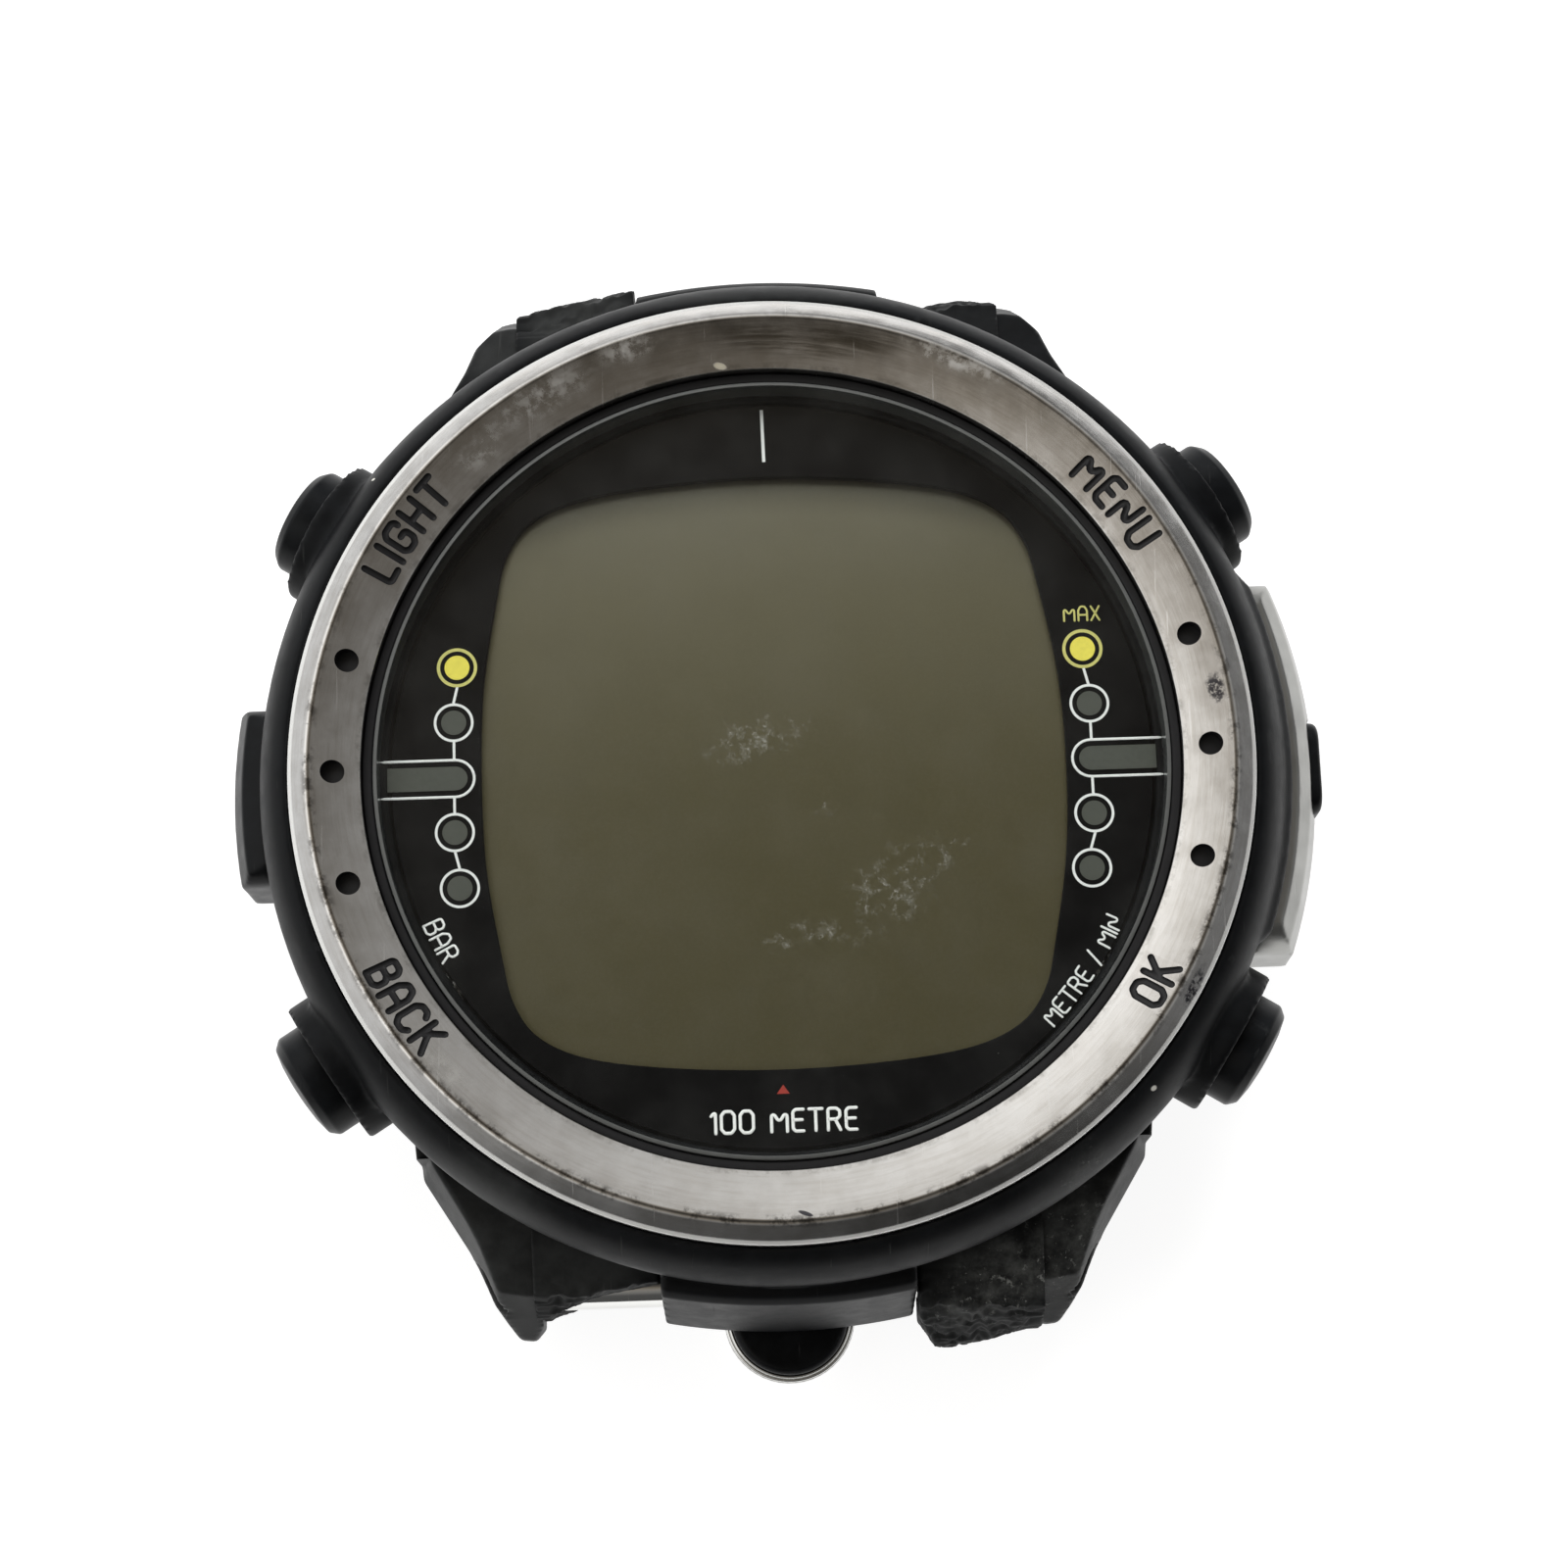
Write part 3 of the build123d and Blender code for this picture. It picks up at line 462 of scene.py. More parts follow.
def bezel_steel():
    """Satin steel of the bezel: clouded polish, streaks round the ring, milky haze, stains, fine scratches and dirt."""
    m = Mat("bezel_steel_worn")
    x, y, z = m.xyz()
    rad = m.radius()
    turn = m.math("ARCTAN2", y, x)
    comb = m.node("ShaderNodeCombineXYZ")
    m.put(comb.inputs[0], m.math("MULTIPLY", rad, 3.0))
    m.put(comb.inputs[1], m.math("MULTIPLY", turn, 4.0))
    streak = m.node("ShaderNodeTexNoise")
    streak.inputs["Scale"].default_value = 1.6
    streak.inputs["Detail"].default_value = 6.0
    streak.inputs["Roughness"].default_value = 0.62
    m.link(comb.outputs[0], streak.inputs["Vector"])
    streak = streak.outputs["Fac"]
    cloud = m.noise(0.55, 6.0, 0.62, w=1.0)
    fine = m.noise(3.5, 5.0, 0.65, w=2.0)
    base = m.mix(m.span(cloud, 0.3, 0.72), (0.585, 0.570, 0.548), (0.70, 0.69, 0.675))
    base = m.mix(m.math("MULTIPLY", m.span(streak, 0.42, 0.68), 0.30), base, (0.46, 0.43, 0.39))
    base = m.mix(m.math("MULTIPLY", m.span(fine, 0.5, 0.75), 0.18), base, (0.50, 0.48, 0.45))
    r = m.math("ADD", 0.17, m.math("MULTIPLY", m.math("SUBTRACT", cloud, 0.5), 0.30))
    # painted dark reflection at the top of the ring: a brown patch, streaked round it
    painted_top_reflection = m.math("MULTIPLY", m.spot(2.6, 21.3, 6.5, 1.0, -0.10, 0.6, 0.5, 0.5), m.span(streak, 0.30, 0.62))
    base = m.mix(m.math("MULTIPLY", painted_top_reflection, 0.75), base, (0.150, 0.130, 0.095))
    # milky haze
    milk = total(m, [m.spot(-10.9, 18.7, 3.8, 1.3, 0.52, 0.9, 0.6, 0.6), m.spot(-13.9, 16.2, 2.4, 1.1, 0.88, 0.9, 0.6, 0.6), m.spot(-6.4, 21.1, 2.4, 0.8, 0.28, 0.9, 0.6, 0.7), m.spot(9.6, 20.0, 3.4, 0.7, -0.45, 0.9, 0.6, 0.6), m.spot(-16.2, -14.6, 3.0, 0.7, -0.75, 0.9, 0.5, 0.6)])
    milk = m.math("MULTIPLY", milk, m.span(m.noise(1.2, 6.0, 0.7, w=31.0), 0.38, 0.62))
    base = m.mix(m.math("MULTIPLY", milk, 0.70), base, (0.93, 0.92, 0.89))
    r = m.math("ADD", r, m.math("MULTIPLY", milk, 0.36))
    # crossing hair scratches
    marks = []
    for k, (ang, st) in enumerate(((0.2, 0.03), (1.1, 0.02), (1.9, 0.035), (2.6, 0.025))):
        v = m.coords(scale=(1.0, st, st), rot=(0, 0, ang))
        marks.append(m.span(m.noise(5.0, 2.0, 0.5, vec=v, w=4.0 + k), 0.70, 0.73))
    lines = m.math("MULTIPLY", total(m, marks), m.span(m.noise(0.4, 3.0, 0.6, w=9.0), 0.40, 0.58))
    base = m.mix(m.math("MULTIPLY", lines, 0.5), base, (0.90, 0.89, 0.87))
    # dirt gathered along the ridge, patchy, and a painted highlight along the outer edge
    ridge = m.math("MULTIPLY", m.span(rad, 22.10, 22.50), m.span(rad, 22.95, 22.62))
    ridge = m.math("MULTIPLY", ridge, m.span(m.noise(0.9, 6.0, 0.75, w=12.0), 0.47, 0.60))
    ridge = m.math("MULTIPLY", ridge, m.span(m.math("MULTIPLY", y, 1000.0), 17.0, -2.0, 0.25, 1.0))
    base = m.mix(m.math("MULTIPLY", ridge, 0.75), base, (0.055, 0.050, 0.045))
    inner = m.math("MULTIPLY", m.span(rad, 20.42, 20.20), m.span(m.noise(0.8, 5.0, 0.7, w=14.0), 0.45, 0.62))
    base = m.mix(m.math("MULTIPLY", inner, 0.45), base, (0.20, 0.19, 0.17))
    # painted highlight: the outer edge is made near white, and rougher, so it reads as a bright line
    rim = m.span(rad, 23.36, 23.46)
    base = m.mix(rim, base, (0.92, 0.92, 0.90))
    r = m.math("ADD", r, m.math("MULTIPLY", rim, 0.45))
    # single marks
    nick = m.spot(-1.92, 20.22, 0.42, 0.20, -0.3, 0.4, 0.5, 2.0)
    base = m.mix(nick, base, (1.0, 0.95, 0.80))
    r = m.math("ADD", r, m.math("MULTIPLY", nick, 0.5))
    blot = total(m, [m.math("MULTIPLY", m.spot(21.75, 2.7, 0.5, 0.9, 0.2, 0.5, 0.9, 2.4), m.span(fine, 0.40, 0.52)), m.spot(0.86, -22.2, 0.42, 0.12, -0.35, 0.3, 0.2, 2.0), m.math("MULTIPLY", m.spot(19.8, -12.0, 0.35, 1.3, -0.5, 0.5, 0.9, 1.4), m.span(fine, 0.42, 0.55))])
    base = m.mix(m.math("MULTIPLY", blot, 0.92), base, (0.030, 0.030, 0.040))
    r = m.math("ADD", r, m.math("MULTIPLY", lines, 0.15))
    b = m.bump(fine, 0.05, 0.02)
    b = m.bump(streak, 0.05, 0.05, b)
    b = m.bump(m.noise(0.30, 2.0, 0.5, w=20.0), 0.16, 0.30, b)
    m.principled(Base_Color=base, Roughness=r, Metallic=1.0, Normal=b)
    return m.m


def glass_clear():
    """Crystal: clear, with a mirror sheen and a few whitish smears. Lamps pass it."""
    m = Mat("crystal_clear")
    zones = [m.spot(-0.9, 1.3, 3.1, 1.5, 0.15, 0.8, 0.6, 0.6), m.spot(1.3, 1.9, 0.9, 0.4, 0.3, 0.6, 0.3, 1.0), m.spot(5.8, -6.2, 3.9, 2.3, 0.75, 0.8, 0.7, 0.5), m.spot(8.6, -4.6, 1.2, 0.7, 0.7, 0.8, 0.4, 0.8), m.spot(2.6, -2.2, 0.9, 0.6, 0.6, 0.9, 0.3, 0.8), m.spot(1.4, -8.6, 3.4, 0.8, 0.1, 0.9, 0.6, 0.7)]
    zone = total(m, zones)
    fleck = m.span(m.noise(1.3, 8.0, 0.78, w=3.0), 0.515, 0.62)
    fine = m.span(m.noise(6.0, 3.0, 0.6, w=5.0), 0.45, 0.75)
    smear = m.math("MULTIPLY", m.math("MULTIPLY", zone, fleck), m.math("ADD", 0.25, m.math("MULTIPLY", fine, 0.75)))
    haze = m.span(m.noise(0.25, 5.0, 0.6, w=7.0), 0.4, 0.8, 0.0, 0.012)
    film = m.math("ADD", m.math("MULTIPLY", smear, 0.42), haze)
    clear = m.node("ShaderNodeBsdfTransparent")
    clear.inputs[0].default_value = (0.94, 0.95, 0.95, 1)
    gloss = m.node("ShaderNodeBsdfGlossy")
    gloss.inputs["Color"].default_value = (1, 1, 1, 1)
    gloss.inputs["Roughness"].default_value = 0.03
    m.link(m.bump(m.noise(0.12, 2.0, 0.5, w=11.0), 0.03, 0.3), gloss.inputs["Normal"])
    facing = m.node("ShaderNodeLayerWeight")
    facing.inputs["Blend"].default_value = 0.5
    sheen = m.math("MULTIPLY_ADD", m.math("POWER", facing.outputs["Facing"], 5.0), 0.80, 0.024)
    mixed = m.node("ShaderNodeMixShader")
    m.link(sheen, mixed.inputs[0])
    m.link(clear.outputs[0], mixed.inputs[1])
    m.link(gloss.outputs[0], mixed.inputs[2])
    white = m.node("ShaderNodeBsdfDiffuse")
    white.inputs[0].default_value = (0.62, 0.62, 0.58, 1)
    final = m.node("ShaderNodeMixShader")
    m.link(film, final.inputs[0])
    m.link(mixed.outputs[0], final.inputs[1])
    m.link(white.outputs[0], final.inputs[2])
    m.link(final.outputs[0], m.out.inputs[0])
    return m.m


def lcd_face():
    """Unlit reflective display: olive grey, greyer and lighter to the top, with a painted shadow band under the
    window's top edge, and faint mottling.
    """
    m = Mat("lcd_olive")
    x, y, z = m.xyz()
    t = m.span(m.math("MULTIPLY", y, 1000.0), -14.0, 14.5, 0.0, 1.0, "LINEAR")
    col = m.ramp(t, (0.0, (0.092, 0.079, 0.039)), (0.45, (0.093, 0.080, 0.040)), (0.80, (0.120, 0.106, 0.063)), (1.0, (0.136, 0.124, 0.085)))
    mott = m.noise(0.6, 5.0, 0.6, w=2.0)
    xm, ym = m.math("MULTIPLY", x, 1000.0), m.math("MULTIPLY", y, 1000.0)
    # painted shadow: a soft dark band under the curved top edge of the window, where the dial plate shades the display
    painted_top_shadow = m.math("ADD", ym, m.math("MULTIPLY", m.math("MULTIPLY", xm, xm), 0.011))
    col = m.mix(m.span(painted_top_shadow, 12.9, 15.2, 0.0, 0.62), col, (0.022, 0.021, 0.017))
    col = m.mix(m.math("MULTIPLY", m.span(mott, 0.3, 0.7), 0.10), col, (0.075, 0.068, 0.045))
    dots = m.noise(9.0, 2.0, 0.5, w=4.0)
    col = m.mix(m.math("MULTIPLY", m.span(dots, 0.45, 0.6), 0.05), col, (0.18, 0.17, 0.13))
    m.principled(Base_Color=col, Roughness=0.42, Specular_IOR_Level=0.35, Normal=m.bump(dots, 0.03, 0.01))
    return m.m


def ink(name, colour, rough=0.45, seed=0.0, glow=0.0):
    m = Mat(name)
    n = m.noise(5.0, 3.0, 0.6, w=seed)
    col = m.mix(m.math("MULTIPLY", m.span(n, 0.35, 0.75), 0.35), colour, tuple(c * 0.7 for c in colour))
    p = m.principled(Base_Color=col, Roughness=rough, Normal=m.bump(n, 0.05, 0.01))
    return m.m


def dial_black():
    """Glossy black print under the crystal, with a few pale specks of dust."""
    m = Mat("dial_black")
    cloud = m.noise(0.3, 3.0, 0.5, w=1.0)
    dust = m.span(m.noise(3.2, 2.0, 0.5, w=5.0), 0.775, 0.80)
    col = m.mix(m.span(cloud, 0.3, 0.7), (0.0030, 0.0030, 0.0034), (0.0048, 0.0048, 0.0052))
    col = m.mix(m.math("MULTIPLY", dust, 0.5), col, (0.35, 0.35, 0.33))
    m.principled(Base_Color=col, Roughness=m.span(cloud, 0.2, 0.8, 0.28, 0.42), Specular_IOR_Level=0.12)
    return m.m


# of the case's pale patches, the band along the top flange and the patch on the top-left lug are painted sheen on the
# top side, where the light falls; the two on the lower lugs are lighter grey patches
M_BLACK = black_plastic("case_black", base=(0.0030, 0.0033, 0.0038), scuffs=[(12.8, -24.2, 4.2, 2.6, 0.75, 0.8), (15.2, -21.2, 2.4, 2.6, 0.9, 0.4)],
                        pale_patches=[(-14.6, -22.8, 4.2, 5.5, 0.5, 0.55), (14.8, -22.6, 4.0, 5.0, -0.5, 0.30), (-13.0, 24.0, 4.0, 3.0, 0.0, 0.25), (0.0, 24.6, 12.0, 1.6, 0.0, 0.18)],
                        nicks=[(17.75, -16.65, 0.20, 0.13, 0.6), (9.5, -26.15, 0.24, 0.16, 0.2), (8.4, -25.2, 0.10, 0.22, 0.1), (-19.4, 15.2, 0.12, 0.08, 0.4)])
M_BUTTON = black_plastic("button_black", base=(0.0040, 0.0045, 0.0052), rough=0.36, grain=10.0, wear=0.8, seed=40.0)
M_COVER = black_plastic("cover_black", base=(0.0040, 0.0044, 0.0050), rough=0.36, grain=12.0, wear=0.7, seed=60.0)
# of the strap ends' pale patches, the one at the top is painted sheen on the lit top side; the two at the bottom are
# lighter grey patches
M_STRAP = black_plastic("strap_rubber_torn", base=(0.0050, 0.0054, 0.0058), rough=0.58, grain=8.0, wear=0.9, dust=0.5, scuffs=[(10.8, -24.6, 4.6, 2.6, 0.45, 0.95), (7.6, -26.6, 1.4, 1.2, 0.4, 0.5)],
                        pale_patches=[(-10.0, -23.4, 4.0, 3.4, 0.2, 0.55), (8.6, -24.6, 4.0, 4.0, 0.0, 0.25), (-9.0, 25.0, 4.0, 3.0, 0.0, 0.35)], seed=80.0)
M_GASKET = simple("gasket_black", (0.008, 0.008, 0.009), 0.55, grain=4.0, seed=3.0)
M_SEAL = simple("seal_grey", (0.085, 0.088, 0.085), 0.45, grain=2.0, vary=0.25, seed=5.0)
M_BEZEL = bezel_steel()
M_PAINT = ink("engraving_paint", (0.010, 0.010, 0.011), 0.5, 1.0)
M_STEEL = metal("steel_turned", brush="turned", rough=0.28)
M_SATIN = metal("steel_satin", colour=(0.40, 0.40, 0.385), brush=(1.0, 0.04, 1.0), rough=0.36, seed=5.0, tint=0.9, wear=1.3)
M_SCREW = metal("steel_screw", colour=(0.58, 0.57, 0.55), rough=0.26, seed=9.0)
M_BRIGHT = metal("steel_bright", colour=(0.80, 0.80, 0.78), rough=0.10, seed=12.0, tint=0.2)
M_GOLD = metal("contact_gold", colour=(0.83, 0.62, 0.30), rough=0.25, seed=15.0)
M_CRYSTAL = glass_clear()
M_LCD = lcd_face()
M_DIAL = dial_black()
M_WHITE = ink("print_white", (0.95, 0.96, 0.93), 0.5, 3.0)
M_YELLOW = ink("print_yellow", (0.95, 0.84, 0.13), 0.5, 5.0)
M_YLINE = ink("print_yellow_line", (0.72, 0.68, 0.22), 0.5, 6.0)
M_GREY = ink("print_grey", (0.092, 0.097, 0.082), 0.4, 7.0)
M_RED = ink("print_red", (0.42, 0.05, 0.035), 0.5, 9.0)
M_PCB = simple("board_green", (0.012, 0.10, 0.045), 0.35, grain=2.0, seed=11.0)
M_CHIP = simple("chip_black", (0.015, 0.015, 0.016), 0.5, grain=5.0, seed=12.0)
M_MODULE = simple("module_grey", (0.06, 0.06, 0.062), 0.5, grain=4.0, seed=13.0)
M_GUIDE = simple("guide_clear", (0.55, 0.58, 0.56), 0.2, grain=1.0, vary=0.1, seed=14.0)

# ------------------------------------------------------------------ bezel and everything under it
R_IN, R_RIDGE, R_OUT = 20.05, 22.6, 23.6
Z_SEAT, Z_EDGE, Z_RIDGE, Z_IN = 13.3, 15.0, 15.72, 14.93
FACE_SLOPE = (Z_RIDGE - Z_IN) / (R_RIDGE - R_IN)


def face_z(r):
    return Z_IN + (r - R_IN) * FACE_SLOPE


bezel_profile = corner(
    [(R_IN, Z_SEAT), (R_OUT, Z_SEAT), (R_OUT, Z_EDGE), (R_RIDGE + 0.02, Z_RIDGE), (R_IN, Z_IN)],
    [0.05, 0.12, 0.11, 0.42, 0.07], 7)
bezel = lathe("bezel_ring", bezel_profile, [M_BEZEL, M_PAINT], segs=720, angle=40)

GLYPHS = {
    "L": (0.50, [[(0, 1), (0, 0), (0.5, 0)]]),
    "I": (0.0, [[(0, 1), (0, 0)]]),
    "G": (0.60, [[(0.6, 0.80), (0.6, 0.92), (0.5, 1), (0.15, 1), (0, 0.85), (0, 0.15), (0.15, 0), (0.45, 0), (0.6, 0.15), (0.6, 0.5), (0.34, 0.5)]]),
    "H": (0.60, [[(0, 1), (0, 0)], [(0.6, 1), (0.6, 0)], [(0, 0.5), (0.6, 0.5)]]),
    "T": (0.60, [[(0, 1), (0.6, 1)], [(0.3, 1), (0.3, 0)]]),
    "M": (0.72, [[(0, 0), (0, 1), (0.36, 0.42), (0.72, 1), (0.72, 0)]]),
    "E": (0.48, [[(0.48, 1), (0.12, 1), (0, 0.88), (0, 0.12), (0.12, 0), (0.48, 0)], [(0, 0.52), (0.42, 0.52)]]),
    "N": (0.60, [[(0, 0), (0, 1), (0.6, 0), (0.6, 1)]]),
    "U": (0.60, [[(0, 1), (0, 0.18), (0.15, 0), (0.45, 0), (0.6, 0.18), (0.6, 1)]]),
    "B": (0.56, [[(0, 0), (0, 1), (0.38, 1), (0.52, 0.88), (0.52, 0.66), (0.4, 0.54), (0, 0.54)], [(0.38, 0.54), (0.56, 0.42), (0.56, 0.14), (0.42, 0), (0, 0)]]),
    "A": (0.60, [[(0, 0), (0, 0.72), (0.16, 1), (0.44, 1), (0.6, 0.72), (0.6, 0)], [(0, 0.40), (0.6, 0.40)]]),
    "C": (0.56, [[(0.56, 0.85), (0.43, 1), (0.15, 1), (0, 0.82), (0, 0.18), (0.15, 0), (0.43, 0), (0.56, 0.15)]]),
    "K": (0.56, [[(0, 1), (0, 0)], [(0.54, 1), (0.02, 0.44)], [(0.18, 0.60), (0.56, 0)]]),
    "O": (0.60, [[(0.30, 0), (0.15, 0), (0, 0.18), (0, 0.82), (0.15, 1), (0.45, 1), (0.6, 0.82), (0.6, 0.18), (0.45, 0), (0.30, 0)]]),
    "0": (0.60, [[(0.30, 0), (0.15, 0), (0, 0.18), (0, 0.82), (0.15, 1), (0.45, 1), (0.6, 0.82), (0.6, 0.18), (0.45, 0), (0.30, 0)]]),
    "X": (0.56, [[(0, 1), (0.56, 0)], [(0.56, 1), (0, 0)]]),
    "R": (0.56, [[(0, 0), (0, 1), (0.38, 1), (0.54, 0.88), (0.54, 0.62), (0.4, 0.5), (0, 0.5)], [(0.32, 0.5), (0.56, 0)]]),
    "S": (0.58, [[(0.56, 0.88), (0.42, 1), (0.15, 1), (0.02, 0.88), (0.02, 0.66), (0.14, 0.54), (0.45, 0.46), (0.58, 0.34), (0.58, 0.12), (0.44, 0), (0.14, 0), (0, 0.12)]]),
    "1": (0.20, [[(0, 0.80), (0.2, 1), (0.2, 0)]]),
    "/": (0.36, [[(0, -0.05), (0.36, 1.05)]]),
    " ": (0.30, []),
}


def strokes(word, cap, gap):
    """Each letter's strokes as runs of (along, up) in mm, centred on 0."""
    runs, at = [], 0.0
    for ch in word:
        w, lines = GLYPHS[ch]
        for line in lines:
            pts = corner(line, 0.12, 4, closed=False)
            dense = []
            for a, b in zip(pts, pts[1:]):
                n = max(1, int(math.dist(a, b) * cap / 0.18))
                dense += [(a[0] + (b[0] - a[0]) * k / n, a[1] + (b[1] - a[1]) * k / n) for k in range(n)]
            dense.append(pts[-1])
            runs.append([(at + x * cap, y * cap) for x, y in dense])
        at += w * cap + gap
    width = at - gap
    return [[(x - width / 2, y) for x, y in run] for run in runs]


def on_arc(runs, centre_deg, radius, outward, height):
    """Bends flat strokes round the axis. height gives z from a radius."""
    c = math.radians(centre_deg)
    out = []
    for run in runs:
        line = []
        for s, u in run:
            if outward:
                r, a = radius + u, c - s / radius
            else:
                r, a = radius - u, c + s / radius
            line.append(Vector((r * math.cos(a), r * math.sin(a), height(r))))
        out.append(line)
    return out


def tube_mesh(lines, radius, sides=8, flat=1.0, closed=False):
    """Round-ended tubes along lines, as one list of vertices and faces."""
    verts, faces = [], []
    for pts in lines:
        n = len(pts)
        if n < 2:
            continue
        prev = None
        rings = []
        for i, p in enumerate(pts):
            d = (pts[min(i + 1, n - 1)] - pts[max(i - 1, 0)]).normalized()
            up = Vector((0, 0, 1))
            side = d.cross(up).normalized()
            top = side.cross(d).normalized()
            scale_list = [(0.0, 1.0)]
            if i == 0:
                scale_list = [(-0.92, 0.40), (-0.60, 0.80), (0.0, 1.0)]
            elif i == n - 1:
                scale_list = [(0.0, 1.0), (0.60, 0.80), (0.92, 0.40)]
            for shift, k in scale_list:
                ring = []
                for j in range(sides):
                    a = 2 * math.pi * j / sides
                    q = p + d * shift * radius + (side * math.cos(a) + top * math.sin(a) * flat) * radius * k
                    ring.append(len(verts))
                    verts.append(tuple(q))
                rings.append(ring)
        for r0, r1 in zip(rings, rings[1:]):
            for j in range(sides):
                k = (j + 1) % sides
                faces.append((r0[j], r1[j], r1[k], r0[k]))
        faces.append(tuple(rings[0]))
        faces.append(tuple(reversed(rings[-1])))
    return verts, faces


def cutter(name, verts, faces, mat):
    me = bpy.data.meshes.new(name)
    me.from_pydata([tuple(c * MM for c in v) for v in verts], [], faces)
    me.materials.append(mat)
    bm = bmesh.new(); bm.from_mesh(me)
    bmesh.ops.recalc_face_normals(bm, faces=bm.faces)
    bm.to_mesh(me); bm.free()
    o = bpy.data.objects.new(name, me)
    SCENE.collection.objects.link(o)
    return o


def carve(target, tool):
    """Cuts the tool from the target, and lends the cut faces the tool's material."""
    mod = target.modifiers.new("cut", "BOOLEAN")
    mod.object = tool
    mod.operation = "DIFFERENCE"
    mod.solver = "EXACT"
    mod.material_mode = "TRANSFER"
    apply_mods(target)
    me = tool.data
    bpy.data.objects.remove(tool)
    bpy.data.meshes.remove(me)


LABELS = [("LIGHT", 145.5, True), ("MENU", 35.5, True), ("BACK", 213.0, False), ("OK", 327.0, False)]
lines = []
for word, angle, outward in LABELS:
    radius = 20.72 if outward else 22.16
    cap, gap = (1.42, 0.50) if outward else (1.48, 0.46)
    lines += on_arc(strokes(word, cap, gap), angle, radius, outward, lambda r: face_z(r) + 0.03)
v, f = tube_mesh(lines, 0.185, 10)
tool = cutter("letters", v, f, M_PAINT)
mod = tool.modifiers.new("join", "REMESH")
mod.mode = "VOXEL"
mod.voxel_size = 0.040 * MM
apply_mods(tool)
bm = bmesh.new()
bm.from_mesh(tool.data)
for base in (0, 180):
    for k in (-1, 0, 1):
        a = math.radians(base + k * 15.07)
        x, y = 21.37 * math.cos(a), 21.37 * math.sin(a)
        ring = [(x + 0.58 * math.cos(t * math.pi / 24), y + 0.58 * math.sin(t * math.pi / 24)) for t in range(48)]
        v, f = prism(ring, 14.7, 16.4)
        vs = [bm.verts.new(tuple(c * MM for c in p)) for p in v]
        for face in f:
            bm.faces.new([vs[i] for i in face])
bm.to_mesh(tool.data)
bm.free()
tool.data.materials.clear()
tool.data.materials.append(M_PAINT)
carve(bezel, tool)
shade(bezel, 40)
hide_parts("bezel")

gasket = lathe("bezel_gasket_ring", corner([(19.53, 12.92), (20.03, 12.92), (20.03, 14.3), (19.53, 14.3)], [0, 0, 0.12, 0.12], 4), [M_GASKET], segs=360)
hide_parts("bezel_gasket")
seal = lathe("crystal_seal_ring", corner([(19.31, 12.92), (19.51, 12.92), (19.51, 14.44), (19.31, 14.5)], [0, 0, 0.05, 0.03], 3), [M_SEAL], segs=360)
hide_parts("crystal_seal")
crystal = lathe("crystal_glass", [(0, 12.9), (19.27, 12.9), (19.3, 12.93), (19.3, 14.44), (19.14, 14.6), (0, 14.6)], [M_CRYSTAL], segs=360, closed=False, angle=20)
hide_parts("crystal")


def spline_loop(pts, n=16):
    """Closed Catmull-Rom curve through points."""
    out = []
    m = len(pts)
    for i in range(m):
        p0, p1, p2, p3 = (Vector(pts[(i + k) % m]) for k in (-1, 0, 1, 2))
        for k in range(n):
            t = k / n
            out.append(tuple(0.5 * ((2 * p1) + (p2 - p0) * t + (2 * p0 - 5 * p1 + 4 * p2 - p3) * t * t + (3 * p1 - p0 - 3 * p2 + p3) * t ** 3)))
    return out


WINDOW = spline_loop([
    (0, 15.0), (5.2, 14.72), (9.3, 14.08), (11.7, 13.0), (12.95, 11.3), (13.55, 9.0), (14.3, 4.6), (14.52, 0),
    (14.3, -4.6), (13.55, -9.0), (12.95, -11.3), (11.7, -13.0), (9.3, -14.1), (5.2, -14.7), (0, -14.93),
    (-5.2, -14.7), (-9.3, -14.1), (-11.7, -13.0), (-12.9, -11.3), (-13.45, -9.0), (-14.15, -4.6), (-14.32, 0),
    (-14.15, 4.6), (-13.45, 9.0), (-12.9, 11.3), (-11.7, 13.0), (-9.3, 14.08), (-5.2, 14.72)], 8)


def dial_mesh():
    """Thin printed plate: round outside, barrel-shaped window inside, bevelled window edge."""
    n = len(WINDOW)
    zt, zb = 12.88, 12.55
    loops = []
    outer = []
    for x, y in WINDOW:
        a = math.atan2(y, x)
        outer.append((18.75 * math.cos(a), 18.75 * math.sin(a)))
    inner2 = [(x * 1.004, y * 1.004) for x, y in WINDOW]
    loops.append([(x, y, zb) for x, y in WINDOW])
    loops.append([(x, y, zt - 0.05) for x, y in WINDOW])
    loops.append([(x, y, zt) for x, y in inner2])
    loops.append([(x, y, zt) for x, y in outer])
    loops.append([(x, y, zb) for x, y in outer])
    verts = [v for l in loops for v in l]
    faces = []
    for l in range(5):
        l2 = (l + 1) % 5
        for i in range(n):
            j = (i + 1) % n
            faces.append((l * n + i, l * n + j, l2 * n + j, l2 * n + i))
    o = make_object("dial_plate", verts, faces, [M_DIAL], None, BODY, 30)
    bm = bmesh.new(); bm.from_mesh(o.data)
    bmesh.ops.recalc_face_normals(bm, faces=bm.faces)
    bm.to_mesh(o.data); bm.free()
    return o


dial = dial_mesh()
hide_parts("dial_mask")

lcd_out = corner([(-15.2, -15.6), (15.2, -15.6), (15.2, 15.6), (-15.2, 15.6)], 4.0, 8)
lcd_out = [(x * min(1, 18.55 / math.hypot(x, y)), y * min(1, 18.55 / math.hypot(x, y))) for x, y in lcd_out]
v, f = prism(lcd_out, 11.3, 12.5, 0.05, 2)
lcd = make_object("lcd_panel", v, f, [M_LCD])
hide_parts("lcd_glass")

ZD = 12.885  # printed marks stand on the dial plate


def disc(cx, cy, r, z=ZD, n=40):
    return [(cx + r * math.cos(2 * math.pi * k / n), cy + r * math.sin(2 * math.pi * k / n)) for k in range(n)]


